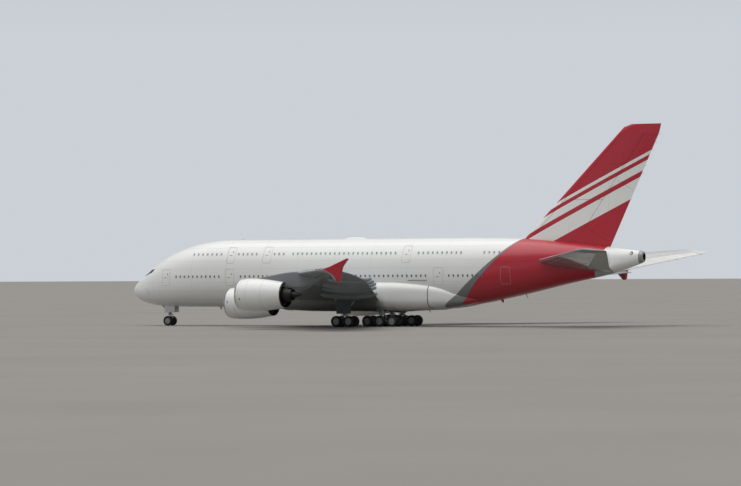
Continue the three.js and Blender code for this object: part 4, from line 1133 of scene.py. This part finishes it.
quarter = [math.pi / 2 * i / 8 for i in range(1, 8)]
outside_front, inside_front = (
    [(curl * (1 - math.cos(t)), LIP + (skin[0, 1] - LIP) * math.sin(t)) for t in quarter]
    for curl, skin in ((CURL_OUT, COWL_OUTSIDE), (CURL_IN, COWL_INSIDE))
)
outside = [(a, radius_at(COWL_OUTSIDE, a)) for a in np.linspace(0.5, COWL_END, 34)]
inside = [(a, radius_at(COWL_INSIDE, a)) for a in np.linspace(COWL_END, 0.3, 30)]
cowl_profile = [(0.0, LIP), *outside_front, *outside, *inside, *inside_front[::-1]]
cowl = lathe("cowl", cowl_profile, cowl_paint, 96, closed=True)
for material in (bare_aluminium, liner, titanium):
    cowl.data.materials.append(material)
for face in cowl.data.polygons:
    aft, radius = face.center.y / SCALE, math.hypot(face.center.x, face.center.z) / SCALE
    duct = radius < LIP and radius < radius_at(COWL_INSIDE, max(aft, 0.3)) + 0.02
    if aft < 0.32:
        face.material_index = 1
    elif duct:
        face.material_index = 2 if aft < COWL_END - 0.6 else 3
    elif aft > COWL_END - 0.1:
        face.material_index = 3


def on_round(radius, aft, degrees):
    """A point round the engine's axis, before it is set down at its engine."""
    t = math.radians(degrees)
    return Vector((radius * math.cos(t), aft, radius * math.sin(t))) * SCALE


def on_cowl(aft, degrees, lift=0.004):
    """A point on the cowl's outside, round from port and up."""
    return on_round(radius_at(COWL_OUTSIDE, aft) + lift, aft, degrees)


cowl_lines = [[on_cowl(aft, d) for d in range(-250, 111, 6)] for aft in (0.62, 1.62, 3.55)]
cowl_lines += [[on_cowl(aft, d) for aft in np.linspace(1.62, COWL_END - 0.05, 16)] for d in (-90, 76, 104)]
cowl_lines += [[on_cowl(aft, -90 + d) for d in (-3, 3)] for aft in (2.0, 2.7, 3.2, 4.0, 4.8)]
core_profile = [(2.05, 0.02), *((a, radius_at(CORE_SKIN, a)) for a in np.linspace(2.05, 7.0, 34))]
core_profile += [(7.0, 0.64), (7.0 - NOZZLE_DEPTH, 0.6)]
core_profile += [(a, radius_at(PLUG, a)) for a in np.linspace(6.2, 8.2, 22)]
core = lathe("core", core_profile, titanium, 64)
core.data.materials.append(sooty)
for face in core.data.polygons:
    aft, radius = face.center.y / SCALE, math.hypot(face.center.x, face.center.z) / SCALE
    if radius < 0.605 and 6.15 < aft < 6.99 or abs(aft - 6.2) < 0.02:
        face.material_index = 1
vane_rings = []
for out, front, rear in ((0.9, 2.6, 3.05), (1.59, 2.7, 3.1)):
    corners = ((front, -0.02), (rear, 0.035), (rear + 0.01, 0.05), (front + 0.01, 0.02))
    vane_rings.append([Vector((out, aft, shift)) * SCALE for aft, shift in corners])
vanes = spun(loft("outlet_vanes", vane_rings, titanium), VANES, titanium)

# A wide-chord titanium blade, twisted from its root to its tip, with a swept front edge.
blade_rings = []
for t in np.linspace(0, 1, 11):
    radius, lean, thick = 0.44 + 1.03 * t, BLADE_LEAN - 3 + 4 * t, 3.6 - 2.4 * t
    front = BLADE_FRONT - 0.015 * math.sin(math.pi * t)
    section = []
    for u, side in [*((u, 1) for u in (0, 0.15, 0.4, 0.7, 1)), *((u, -1) for u in (0.7, 0.4, 0.15))]:
        degrees = lean * (1 - u) ** 1.3 + side * thick * (0.15 + math.sin(math.pi * u)) / 2.3
        section.append(on_round(radius, front + (BLADE_REAR - front) * u, degrees))
    blade_rings.append(section)
blades = spun(loft("fan_blades", blade_rings, blade_metal, 50), BLADES, blade_metal)


def spinner_at(t):
    """The spinner's distance aft and radius, from its tip to its rim."""
    return SPINNER_TIP + SPINNER_LENGTH * t, SPINNER_RADIUS * math.sin(math.pi / 2 * t) ** 0.85


hub_profile = [(SPINNER_TIP, 0.004), *(spinner_at(t) for t in np.linspace(0.02, 1, 16))]
hub = lathe("spinner", hub_profile + [(1.88, 0.5), (1.88, 0.12), (2.5, 0.12)], spinner_paint, 48)
spiral = []
for late in (0, 34):
    for i in range(41):
        aft, radius = spinner_at(0.12 + 0.7 * i / 40)
        spiral.append(on_round(radius + 0.003, aft, 7.5 * i - late * i / 40))
swirl = new_piece("swirl", spiral, [[i, i + 1, i + 42, i + 41] for i in range(40)], white_line)
fan = joined("fan", [blades, hub, swirl])

for side, sign in SIDES.items():
    for engine, (port, lip, axis) in ENGINES.items():
        at = place(sign * port, lip, axis)
        for part, made, body, slot in (
            ("cowl", cowl, "airframe", "white_paint"),
            ("core", core, "airframe", "exhaust_metal"),
            ("fan", fan, f"{engine}_fan_{side}", "fan_metal"),
        ):
            mount(moved(made, f"{engine}_{part}_detail_{side}", at), body, f"{engine}_{part}_{side}")
        mount(moved(vanes, f"{engine}_outlet_vanes_{side}", at))
        lines = [[at + p for p in line] for line in cowl_lines]
        beads(f"{engine}_cowl_seams_{side}", lines, 0.012, grey_line, sides=4)
        # A small oval vent on each cowl: a flat black sheet, painted shade of its opening.
        aft, degrees = (0.83, -15) if engine == "outer" else (0.63, 5)
        degrees = degrees if sign > 0 else 180 - degrees
        spot = [at + on_cowl(aft + 0.07 * math.cos(t), degrees + 4.2 * math.sin(t), 0.006) for t in turns(20)]
        mount(new_piece(f"{engine}_cowl_vent_{side}", spot, [list(range(20))], black_sealant_and_shade))
        # The strake stands on the inboard shoulder and steadies the wing's airflow.
        out = 132 if sign > 0 else 48
        edge = ((1.5, -0.02), (2.9, -0.02), (2.95, 0.34), (2.3, 0.34))
        plan = [at + on_cowl(a, out, lift) for a, lift in edge]
        thick = Vector((math.sin(math.radians(out)), 0, -math.cos(math.radians(out)))) * 0.012
        rings = [[p + thick * k for p in plan] for k in (-1, 1)]
        mount(loft(f"{engine}_strake_{side}", rings, cowl_paint))
for made in (cowl, core, fan, vanes):
    bpy.data.objects.remove(made)


# Pylons: a narrow box of steel and titanium that hangs each engine from the wing, bolted at both ends. Its
# grey fairing is sharp ahead and behind, and runs from the cowl's top to under the wing.
PYLON_HALF, PYLON_SIDES = 0.31, 28
pylon_paint = enamel("grey_pylon_enamel", "#75797c", seams=False)
for engine, (port, lip, axis) in ENGINES.items():
    rib = rib_at(WING_RIBS, port)
    (s1, u1), (s3, u3), (s4, u4) = (
        (rib[1] + along * rib[2], surface_point(rib, s, section_height(s, rib[4], CAMBER, -1)).z / SCALE)
        for along, s in ((0.01, 0.1), (0.3, 0.3), (0.36, 0.36))
    )
    cowl_top = [[lip + 1.9, axis + 1.8], [lip + 3.4, axis + 2.12]]
    cowl_low = [[lip + 1.9, axis + 1.4], [lip + 3.2, axis + 0.9], [lip + 7.4, axis + 0.75]]
    top = np.array([*cowl_top, [s1, u1 + 0.6], [s3, u3 + 0.3], [s4, u4 + 0.1]])
    low = np.array([*cowl_low, [s3, u3 - 0.45], [s4, u4 + 0.06]])
    rings = []
    for t in np.linspace(0, 1, 40):
        station = top[0, 0] + (top[-1, 0] - top[0, 0]) * t
        high, base = (radius_at(table, station) for table in (top, low))
        half = PYLON_HALF * min(1.0, 0.12 + 5.5 * t, 0.05 + 3.2 * (1 - t))
        section = []
        for a in turns(PYLON_SIDES):
            x, z = (math.copysign(abs(f(a)) ** 0.4, f(a)) for f in (math.cos, math.sin))
            section.append(place(port + half * x, station, (high + base) / 2 + (high - base) / 2 * z))
        rings.append(section)
    fairing = loft(f"{engine}_pylon_fairing_left", rings, pylon_paint)
    both_sides(fairing, f"{engine}_pylon", "airframe")


# Tailplane: white enamel over carbon fibre, on blind pins in the rear fuselage that it tips about as one.
# Its root rib follows the bare plate on the fuselage at a small gap, and an elevator hangs on each half.
TAILPLANE_RIBS = [
    [0.9, 56.3, 10.2, 7.3, 0.1, 7.5], [14.5, 68.15, 3.9, 8.95, 0.09, 5.0],
    [15.19, 69.25, 3.0, 9.08, 0.07, 4.5],
]
ELEVATOR_HINGE = (3.15, 14.3, 0.7)
ROOT_GAP = 0.07
TAIL_PIN = (62.6, 7.35, 0.22)  # its station, height and radius
# Glossy enough underneath for the red fuselage to show in it, and duller on the elevators' fibre skins.
tail_paint = surface_paint("white_tailplane_enamel", "#e4e4e0", 0.035, "#d2d4d6", under="#73777a", coat=1.0)
elevator_paint = surface_paint("white_elevator_enamel", "#e4e4e0", 0.0, "#c9ccce", under="#9da19c", coat=0.0)
tailplane = flying_surface("stabiliser_skin_left", TAILPLANE_RIBS, tail_paint)
wall = [(s, float(hull_row(s)[2]) + ROOT_GAP) for s in np.linspace(50, 70.4, 50)]
wall += [(71, 0.6), (71, -3), (50, -3)]
carve(tailplane, loft("wall", [[place(p, s, up) for s, p in wall] for up in (4, 12)], tail_paint))
station, up, radius = TAIL_PIN
pin = bar(place(1.2, station, up), place(2.9, station, up), radius, radius)
carve(tailplane, loft("pin", pin, tail_paint), "UNION")
elevator_line = [hinge_stop(TAILPLANE_RIBS, at, ELEVATOR_HINGE[2]) for at in ELEVATOR_HINGE[:2]]
elevator = cut_surface(tailplane, "elevator_skin_left", *elevator_line)
cove(tailplane, *elevator_line)
elevator.data.materials[0] = elevator_paint
both_sides(sectioned(tailplane, TAILPLANE_RIBS), "stabiliser", "stabiliser")
both_sides(sectioned(elevator, TAILPLANE_RIBS), "elevator")
spars = [(3.2, 0.12, 14.6, 0.13), (3.4, 0.62, 14.2, 0.64)]
lines = surface_lines(TAILPLANE_RIBS, [*spars, (6.5, 0.0, 6.5, 0.62), (10.4, 0.0, 10.4, 0.63)])
beads("tailplane_seams", lines, 0.013, grey_line, sides=4, body="stabiliser")


# Fin and rudder: red enamel with a plain sweep of three straight white bands, and a rudder in two parts.
# Each band gives its lower and upper edge above where it crosses the nose tip's station, and its slope.
FIN_RIBS = [
    [9.3, 53.6, 12.4, 0.0, 0.11, 0.0], [23.0, 67.2, 5.25, 0.0, 0.095, 0.0],
    [23.75, 67.95, 4.7, 0.0, 0.08, 0.0], [24.09, 68.9, 3.82, 0.0, 0.06, 0.0],
]
RUDDER_HINGE = (11.6, 23.0, 0.69)
RUDDER_SPLIT = 17.4
FIN_BANDS = [(-19.2, -17.2, 0.5), (-16.6, -15.65, 0.5), (-15.15, -14.75, 0.5)]
fin_paint = enamel("red_fin_enamel", RED, bands=FIN_BANDS)
fin = flying_surface("fin_skin", FIN_RIBS, fin_paint, upright=True)
low, high, share = RUDDER_HINGE
foot, head = (hinge_stop(FIN_RIBS, at, share, upright=True) for at in (low, high))
split = between(foot, head, (RUDDER_SPLIT - low) / (high - low))
upper = cut_surface(fin, "upper_rudder_skin", split, head)
lower = cut_surface(fin, "lower_rudder_skin", foot, split)
cove(fin, foot, head)
mount(fin, "airframe", "fin")
mount(upper, "upper_rudder", "upper_rudder")
mount(lower, "lower_rudder", "lower_rudder")
red_seal = paint_line("dark_red_sealant", "#6d1a26")
spars = [(11.0, 0.08, 23.0, 0.1), (11.4, 0.62, 23.0, 0.64)]
lines = surface_lines(FIN_RIBS, [*spars, (15.2, 0.08, 15.2, 0.63), (19.4, 0.09, 19.4, 0.63)], upright=True)
beads("fin_seams", lines, 0.013, red_seal, sides=4)

# The auxiliary power unit's exhaust: a bare titanium end to the tail cone with a sooty pipe in it, and a
# small round cooling air outlet each side ahead of it.
OUTLET_STATION, OUTLET_UP, OUTLET_RADIUS = 69.15, 8.76, 0.2
cone_metal = metal("titanium_cone_sheet", "#a3a5a6", "#88898a", 0.4, 3.0, 0.55)
cap_rings = [ring(hull_row(s), s, grow=0.006) for s in np.linspace(69.98, 70.4, 5)]
keel, crown = hull_row(70.4)[:2]
exhaust_at = place(0, 70.4, (keel + crown) / 2)
for radius, aft in ((0.46, 0.05), (0.4, 0.06), (0.38, -0.3), (0.02, -0.3)):
    circle = [Vector((math.sin(t) * radius, aft, -math.cos(t) * radius)) * SCALE for t in turns(AROUND)]
    cap_rings.append([exhaust_at + p for p in circle])
cap = loft("tail_cone_end", cap_rings, cone_metal)
cap.data.materials.append(sooty)
for face in cap.data.polygons:
    middle = face.center - exhaust_at
    if math.hypot(middle.x, middle.z) < 0.398 * SCALE and abs(middle.y) < 0.5:
        face.material_index = 1
mount(cap)
outlets = []
# Each cooling air outlet is a black plug a little proud of the skin: painted shade of its opening.
for side, word in ((1, "port"), (-1, "starboard")):
    circle = [(OUTLET_RADIUS * math.cos(t), OUTLET_RADIUS * math.sin(t)) for t in np.linspace(0, 6.0, 20)]
    rings = [
        [skin_point(OUTLET_STATION + s, OUTLET_UP + u, side, lift)[0] for s, u in circle]
        for lift in (-0.04, 0.014)
    ]
    mount(loft(f"cone_air_outlet_{word}", rings, black_sealant_and_shade))
    outlets.append(rings[1])
beads("cone_outlet_lips", outlets, 0.012, cone_metal, closed=True)


# Wheels: radial tyres with four grooves on forged alloy rims, a pair to each axle with its dark brake packs.
# A pair is made once about its axle and set down eleven times, each time on its own body.
MAIN_TYRE = (0.676, 0.53)  # radius with the foot pressed flat, and width
NOSE_TYRE = (0.613, 0.455)
GROOVES = (-0.55, -0.2, 0.2, 0.55)  # as shares of the tread's half width
GEAR_AXLES = {  # port, station and track, and the name of each axle with how far aft of the leg it is
    "wing_gear": (6.23, 33.58, 1.35, {"front": -0.85, "rear": 0.85}),
    "body_gear": (2.63, 36.85, 1.53, {"front": -1.7, "middle": 0.0, "rear": 1.7}),
}
NOSE_STATION, NOSE_TRACK = 4.97, 1.05

# Rubber: near black, matt, dusty on the tread and scuffed on the shoulders.
rubber, tree, here = new_material("black_tyre_rubber")
dust = add_node(tree, "ShaderNodeTexNoise", {"Vector": here, "Scale": 9.0, "Detail": 6.0})
finish(tree, {"Base Color": coats(tree, "#131415", (dust, "#34322f")), "Roughness": 0.85}, dust, 0.001)
rim_paint = metal("grey_enamelled_alloy_rim", "#9b9fa1", "#84888b", 0.4, 6.0, 0.35)
brake_metal = metal("carbon_brake_housing", "#3b3a3a", "#2b2a2a", 0.55, 8.0, 0.4)
bolt_metal = metal("cadmium_plated_steel", "#8d8b80", "#6f6e68", 0.4, 12.0, 0.9)


def wheel_pair(name, radius, width, track):
    """Two wheels on an axle along port, about the origin, with the outer faces of both turned out."""
    half, rim, tread = width / 2, radius * 0.6, radius - 0.012
    section = [(-half * 0.62, rim), (-half * 0.86, rim + 0.03)]
    for t in np.radians(np.linspace(-40, 80, 9)):
        bulge = (rim + tread) / 2 + (tread - rim) / 2 * math.sin(t)
        section.append((-half * (0.72 + 0.28 * math.cos(t)), bulge))
    for x in (groove * half * 0.72 for groove in GROOVES):
        section += [(x + a, radius - b) for a, b in ((-0.022, 0), (-0.02, 0.022), (0.02, 0.022), (0.022, 0))]
    section += [(-x, r) for x, r in section[:11][::-1]]
    section += [(0.4 * half, rim - 0.01), (-0.4 * half, rim - 0.01)]
    dish = [
        (0.62, rim + 0.015), (0.66, rim + 0.015), (0.68, rim - 0.03), (0.5, rim - 0.05), (0.34, rim * 0.62),
        (0.22, rim * 0.42), (0.6, rim * 0.37), (0.72, rim * 0.32), (0.76, 0.02),
        (-0.1, 0.02), (-0.1, rim * 0.9), (-0.5, rim - 0.04), (-0.62, rim + 0.01),
    ]
    pieces = []
    for side in (-1, 1):
        shift = side * track / 2

        def out_by(out, up):
            """A point outwards from the middle of the wheel."""
            return Vector((shift + side * out, up, 0)) * SCALE

        pieces.append(lathe("tyre", [(shift + a, r) for a, r in section], rubber, 56, "X", 30, closed=True))
        pieces.append(lathe("rim", [(shift + side * a * half, r) for a, r in dish], rim_paint, 40, "X"))
        foot, head = (out_by(0.34 * half + out, rim * 0.52) for out in (-0.02, 0.06))
        bolt = bar(foot, head, 0.024, 0.02, 6)
        pieces.append(spun(loft("bolts", bolt, bolt_metal), 12, bolt_metal, (1, 0, 0)))
        vent = bar(out_by(0.4 * half, rim * 0.76), out_by(0.485 * half, rim * 0.79), 0.04, 0.04, 12)
        pieces.append(spun(loft("vents", vent, sooty), 9, sooty, (1, 0, 0)))
        inner = shift - side * half * 0.5
        pack = ((0, 0.02), (0, rim * 0.85), (0.16, rim * 0.8), (0.18, 0.1))
        pieces.append(lathe("brake", [(inner - side * a, r) for a, r in pack], brake_metal, 32, "X"))
    pieces.append(lathe("axle", [(-track / 2, 0.088), (track / 2, 0.088)], bolt_metal, 24, "X"))
    return joined(name, pieces)


def set_wheels(pair, name, node, at):
    """Sets a pair of wheels down at its axle, on its own body."""
    mount(moved(pair, name, at), node, node)


for gear, (port, station, track, rows) in GEAR_AXLES.items():
    pair = wheel_pair(gear.replace("gear", "wheels"), *MAIN_TYRE, track)
    for side, sign in SIDES.items():
        for row, shift in rows.items():
            at = place(sign * port, station + shift, MAIN_TYRE[0])
            set_wheels(pair, f"{gear}_{row}_tyres_{side}", f"{gear}_{row}_wheels_{side}", at)
    bpy.data.objects.remove(pair)
pair = wheel_pair("nose_wheel_pair", *NOSE_TYRE, NOSE_TRACK)
set_wheels(pair, "nose_tyres", "nose_wheels", place(0, NOSE_STATION, NOSE_TYRE[0]))
bpy.data.objects.remove(pair)


# Main gear: forged steel legs in grey paint, each an outer cylinder over a chromed oleo with a bogie beam
# below. Stays, torque links, retraction jack, brake lines and the leg's own door are fixed to it.
gear_paint = metal("grey_gear_enamel", "#b4b7b7", "#9a9d9d", 0.42, 5.0, 0.0)
chrome = metal("chromed_oleo_steel", "#c9cbcd", "#b6b9bb", 0.1, 2.0)
hose_rubber = metal("black_hydraulic_hose", "#1f2022", "#2c2d2f", 0.6, 20.0, 0.0)
# The leg door's grey enamel is darkened as painted shade, for the deep shade under the wing.
shaded_door_paint = metal("dark_grey_gear_door_enamel", "#5c6064", "#4d5154", 0.5, 4.0, 0.0)


def rod(name, start, end, radius, material=gear_paint, end_radius=None):
    """A round bar between two places on the aircraft."""
    return loft(name, bar(place(*start), place(*end), radius, end_radius or radius, 28), material)


def link(name, start, end, wide, thick):
    """A flat forged link between two places beside the middle plane, narrower at its far end."""
    (x, s0, u0), (_, s1, u1) = start, end
    length = math.hypot(s1 - s0, u1 - u0) / (thick / 2)
    aft, up = (u1 - u0) / length, -(s1 - s0) / length
    rings = [
        [place(x + a * w / 2, s + b * aft, u + b * up) for a, b in ((-1, -1), (1, -1), (1, 1), (-1, 1))]
        for s, u, w in ((s0, u0, wide), (s1, u1, wide * 0.45))
    ]
    return loft(name, rings, gear_paint)


def main_leg(gear, top):
    """The pieces that both main gears have: leg, oleo, collars, bogie beam, axle sleeves and torque links."""
    port, station, _, rows = GEAR_AXLES[gear]
    low, shifts = MAIN_TYRE[0], list(rows.values())

    def by(aft, up, out=0.0):
        """A place beside the leg."""
        return port + out, station + aft, up

    pieces = [
        rod("oleo", by(0, low), by(0, 1.5), 0.17, chrome),
        rod("cylinder", by(0, 1.42), by(0, top), 0.265),
        rod("gland", by(0, 1.36), by(0, 1.5), 0.3),
        rod("collar", by(0, 1.78), by(0, 1.92), 0.3),
        rod("foot", by(0, low - 0.2), by(0, low + 0.34), 0.25, end_radius=0.19),
        rod("beam", by(shifts[0] - 0.1, low), by(shifts[-1] + 0.1, low), 0.165),
        rod("beam_end", by(shifts[0] - 0.1, low), by(shifts[0] - 0.22, low), 0.165, end_radius=0.08),
        rod("beam_end", by(shifts[-1] + 0.1, low), by(shifts[-1] + 0.22, low), 0.165, end_radius=0.08),
        link("upper_torque_link", by(0.24, 1.5), by(0.62, 1.14), 0.34, 0.07),
        link("lower_torque_link", by(0.22, 0.86), by(0.62, 1.14), 0.34, 0.07),
        rod("link_pin", by(0.62, 1.14, -0.12), by(0.62, 1.14, 0.12), 0.05),
        rod("pitch_trimmer", by(-0.26, 1.55), by(-0.62, low + 0.12), 0.06),
        rod("trimmer_rod", by(-0.5, 1.0), by(shifts[0] + 0.2, low), 0.035, chrome),
    ]
    for shift in shifts:
        pieces.append(rod("sleeve", by(shift, low, -0.33), by(shift, low, 0.33), 0.145))
        pieces.append(rod("trunnion", by(shift, low - 0.16), by(shift, low + 0.2), 0.12))
        for out in (-0.24, 0.24):
            pieces.append(rod("brake_rod", by(shift, low - 0.2, out), by(0, low - 0.24, out), 0.025))
    return pieces


def curve_through(stops, steps=6):
    """A smooth line of points through some places, for a hose."""
    p = [place(*s) for s in stops]
    p = [p[0] * 2 - p[1], *p, p[-1] * 2 - p[-2]]
    line = []
    for a, b, c, d in zip(p, p[1:], p[2:], p[3:]):
        for t in np.arange(steps) / steps:
            bend = (2 * a - 5 * b + 4 * c - d) * t * t + (3 * b - a - 3 * c + d) * t**3
            line.append((2 * b + (c - a) * t + bend) * 0.5)
    return line + [p[-2]]


door = [(32.6, 1.6), (32.6, 3.3), (34.6, 3.3), (34.6, 1.6)]
legs = {
    "wing_gear": main_leg("wing_gear", 4.1) + [
        rod("side_stay", (6.23, 33.58, 1.9), (4.35, 33.86, 3.1), 0.1),
        rod("drag_stay", (6.23, 33.58, 1.75), (6.23, 31.9, 3.7), 0.09),
        rod("lock_link", (5.4, 33.7, 2.45), (6.1, 33.6, 3.2), 0.045),
        rod("door_stay", (6.4, 33.6, 2.9), (6.66, 33.6, 2.9), 0.05),
        rod("door_stay", (6.4, 33.6, 1.95), (6.66, 33.6, 1.95), 0.05),
        rounded_plate("leg_door", door, 6.625, 6.695, 0.03, shaded_door_paint, 3),
    ],
    "body_gear": main_leg("body_gear", 2.6) + [
        rod("drag_stay", (2.63, 36.85, 1.5), (2.63, 38.3, 2.3), 0.1),
        rod("side_stay", (2.63, 36.85, 1.5), (1.6, 36.6, 2.3), 0.09),
        rod("jack", (2.75, 36.6, 1.75), (3.4, 36.2, 2.3), 0.07, chrome),
    ],
}
HOSE = [  # how far out as a share of HOSE_OUT, aft of the leg, the share of the way to the axle, and height
    (1.2, -0.24, 0.0, 1.8), (1.5, -0.34, 0.0, 1.35), (1.0, -0.3, 0.3, 0.98), (1.6, 0.0, 0.8, 0.92),
    (1.9, 0.0, 1.0, 0.8),
]
HOSE_OUT = 0.2
for gear, pieces in legs.items():
    both_sides(joined(f"{gear}_leg_left", pieces), gear, "airframe")
    port, station, _, rows = GEAR_AXLES[gear]
    hoses = [
        curve_through([(sign * (port + out * o), station + aft + shift * to, up) for o, aft, to, up in HOSE])
        for sign in SIDES.values()
        for out in (-HOSE_OUT, HOSE_OUT)
        for shift in rows.values()
    ]
    beads(f"{gear}_hoses", hoses, 0.018, hose_rubber)

# The slots that the legs come down through are flat black sheets, painted shade of the open slots, with a
# plain lip.
slots = []
body_slot = rounded_outline((2.2, 36.2), (3.06, 38.5), 0.3, 4)
wing_slot = rounded_outline((5.3, 31.6), (6.6, 34.2), 0.3, 4)
for side in (1, -1):
    slots += [[under_belly(side * p, s, 0.008) for p, s in body_slot], []]
    for p, s in wing_slot:
        _, leading, chord, *_ = rib_at(WING_RIBS, p)
        slots[-1].append(on_surface(WING_RIBS, p, (s - leading) / chord, -1, side, 0.01, CAMBER))
wells = [new_piece("well", slot, [list(range(len(slot)))], black_sealant_and_shade) for slot in slots]
mount(joined("gear_wells", wells))
beads("gear_well_lips", slots, 0.03, grey_line, closed=True)


# Nose gear: a forged leg with its drag stay, doors and lamps, pinned to the fuselage. Below it a chromed oleo
# and its axle sleeve turn as one fork for steering.
low, at = NOSE_TYRE[0], NOSE_STATION
leg = [
    rod("cylinder", (0, at, 1.32), (0, at, 3.0), 0.185),
    rod("steering_collar", (0, at, 1.34), (0, at, 1.52), 0.25),
    rod("upper_collar", (0, at, 1.86), (0, at, 1.98), 0.22),
    rod("stay_bar", (-0.26, at - 0.95, 2.52), (0.26, at - 0.95, 2.52), 0.045),
    rod("door_bar", (-0.5, at, 2.0), (0.5, at, 2.0), 0.04),
    rod("lamp_bar", (-0.3, at - 0.2, 1.75), (0.3, at - 0.2, 1.75), 0.03),
]
door = [(at - 0.5, 1.66), (at - 0.5, 2.6), (at + 1.0, 2.6), (at + 1.0, 1.72)]
for side in (-1, 1):
    jack, panel = side * 0.24, side * 0.52
    leg.append(rod("drag_stay", (side * 0.16, at, 1.65), (side * 0.3, at - 1.25, 2.8), 0.06))
    leg.append(rod("steering_jack", (jack, at - 0.16, 1.43), (jack, at + 0.3, 1.43), 0.06, chrome))
    leg.append(rounded_plate("nose_gear_door", door, panel - 0.03, panel + 0.03, 0.025, cowl_paint, 3))
lamp_places = [(-0.3, 1.75), (0.0, 1.75), (0.3, 1.75), (-0.3, 2.2), (0.3, 2.2)]
for x, up in lamp_places:
    leg.append(rod("lamp_housing", (x, at - 0.2, up), (x, at - 0.34, up), 0.07, end_radius=0.1))
mount(joined("nose_leg_detail", leg), "airframe", "nose_gear_leg")
for i, (x, up) in enumerate(lamp_places):
    lamp(f"nose_gear_lamp_{i + 1}", place(x, at - 0.34, up), 0.092, -0.03, "clear")
fork = [
    rod("oleo", (0, at, low), (0, at, 1.302), 0.13, chrome),
    rod("axle_sleeve", (-0.22, at, low), (0.22, at, low), 0.13),
    rod("foot", (0, at, low - 0.14), (0, at, low + 0.3), 0.19, end_radius=0.15),
    link("lower_torque_link", (0, at + 0.16, 0.78), (0, at + 0.44, 1.02), 0.24, 0.05),
    link("upper_torque_link", (0, at + 0.16, 1.24), (0, at + 0.44, 1.02), 0.24, 0.05),
    rod("link_pin", (-0.09, at + 0.44, 1.02), (0.09, at + 0.44, 1.02), 0.035),
    rod("towing_lug", (0, at - 0.12, 0.5), (0, at - 0.3, 0.47), 0.035),
]
mount(joined("nose_fork_detail", fork), "nose_gear_fork", "nose_gear_fork")


# Small fittings: blade aerials, a satellite dome, beacons, probes, drain masts and static wicks.
# Each aerial gives its station, whether it stands on the crown, its length and its height.
AERIALS = [
    (15.4, True, 0.5, 0.42), (24.6, True, 0.4, 0.32), (37.9, True, 0.4, 0.3),
    (12.2, False, 0.45, 0.36), (18.3, False, 0.4, 0.3), (51.6, False, 0.45, 0.34),
]
SWEPT = ((0, 0), (0.55, 1), (0.9, 1), (1, 0))  # an aerial's corners as shares of its length and height
for i, (station, on_crown, length, height) in enumerate(AERIALS):
    keel, crown = hull_row(station)[:2]
    base, way = (crown - 0.03, 1) if on_crown else (keel + 0.03, -1)
    outline = [(station + length * s, base + way * height * u) for s, u in SWEPT]
    mount(rounded_plate(f"blade_aerial_{i + 1}", outline[::way], -0.035, 0.035, 0.02, cowl_paint, 3))

DOME_START, DOME_LENGTH, DOME_HALF, DOME_HEIGHT = 30.2, 3.2, 0.62, 0.22
dome_rings = []
for t in np.linspace(0, 1, 21):
    station = DOME_START + DOME_LENGTH * t
    swell = max(0.02, math.sin(math.pi * t)) ** 0.6
    base = hull_row(station)[1] - 0.1
    half, tall = DOME_HALF * swell, 0.1 + DOME_HEIGHT * swell
    over = [(math.cos(a), max(0, math.sin(a)) ** 0.8) for a in np.linspace(0, math.pi, 21)]
    dome_rings.append([place(half * x, station, base + tall * z) for x, z in over])
mount(loft("satellite_dome", dome_rings, cowl_paint))
lamp("top_beacon", place(0, 27.6, 10.79), 0.11, 0.16, "red", Vector((0, 0, 1)))
lamp("belly_beacon", under_belly(0, 32.0), 0.11, 0.15, "red", Vector((0, 0, -1)))
probes = []
for side in (1, -1):
    for station, up in ((3.1, 4.75), (3.25, 4.45), (3.5, 4.15)):
        root, facing = skin_point(station, up, side)
        stem = root + facing * 0.14 * SCALE
        probes.append([root, stem, stem - Vector((0, 0.22, 0)) * SCALE])
    for station, up in ((4.3, 5.0), (4.7, 3.6)):
        root, facing = skin_point(station, up, side)
        probes.append([root, root + (facing * 0.12 + Vector((0, 0.06, 0))) * SCALE])
beads("air_data_probes", probes, 0.02, chrome)
masts = [[under_belly(0.6, 42.2), under_belly(0.6, 42.4) - Vector((0, 0, 0.3)) * SCALE]]
masts.append([place(0, 55.0, 3.9), place(0, 55.25, 3.45)])
beads("drain_masts", masts, 0.045, bare_aluminium, sides=8)


def wicks(name, ribs, places, body, side=1, skin=0, upright=False):
    """Carbon static wicks behind a trailing edge, at places along its span."""
    tips = [on_surface(ribs, at, 1.0, skin, side, 0, upright=upright) for at in places]
    lines = [[tip - Vector((0, 0.05, 0)) * SCALE, tip + Vector((0, 0.3, -0.02)) * SCALE] for tip in tips]
    beads(name, lines, 0.011, hose_rubber, sides=4, body=body)


for side, sign in SIDES.items():
    for name, (start, end) in AILERONS.items():
        places = np.linspace(start + 0.35, end - 0.35, 4)
        wicks(f"{name}_aileron_wicks_{side}", WING_RIBS, places, f"{name}_aileron_{side}", sign, 1)
    wicks(f"elevator_wicks_{side}", TAILPLANE_RIBS, np.linspace(7.5, 13.9, 6), f"elevator_{side}", sign)
wicks("rudder_wicks", FIN_RIBS, np.linspace(18.2, 22.8, 6), "upper_rudder", upright=True)
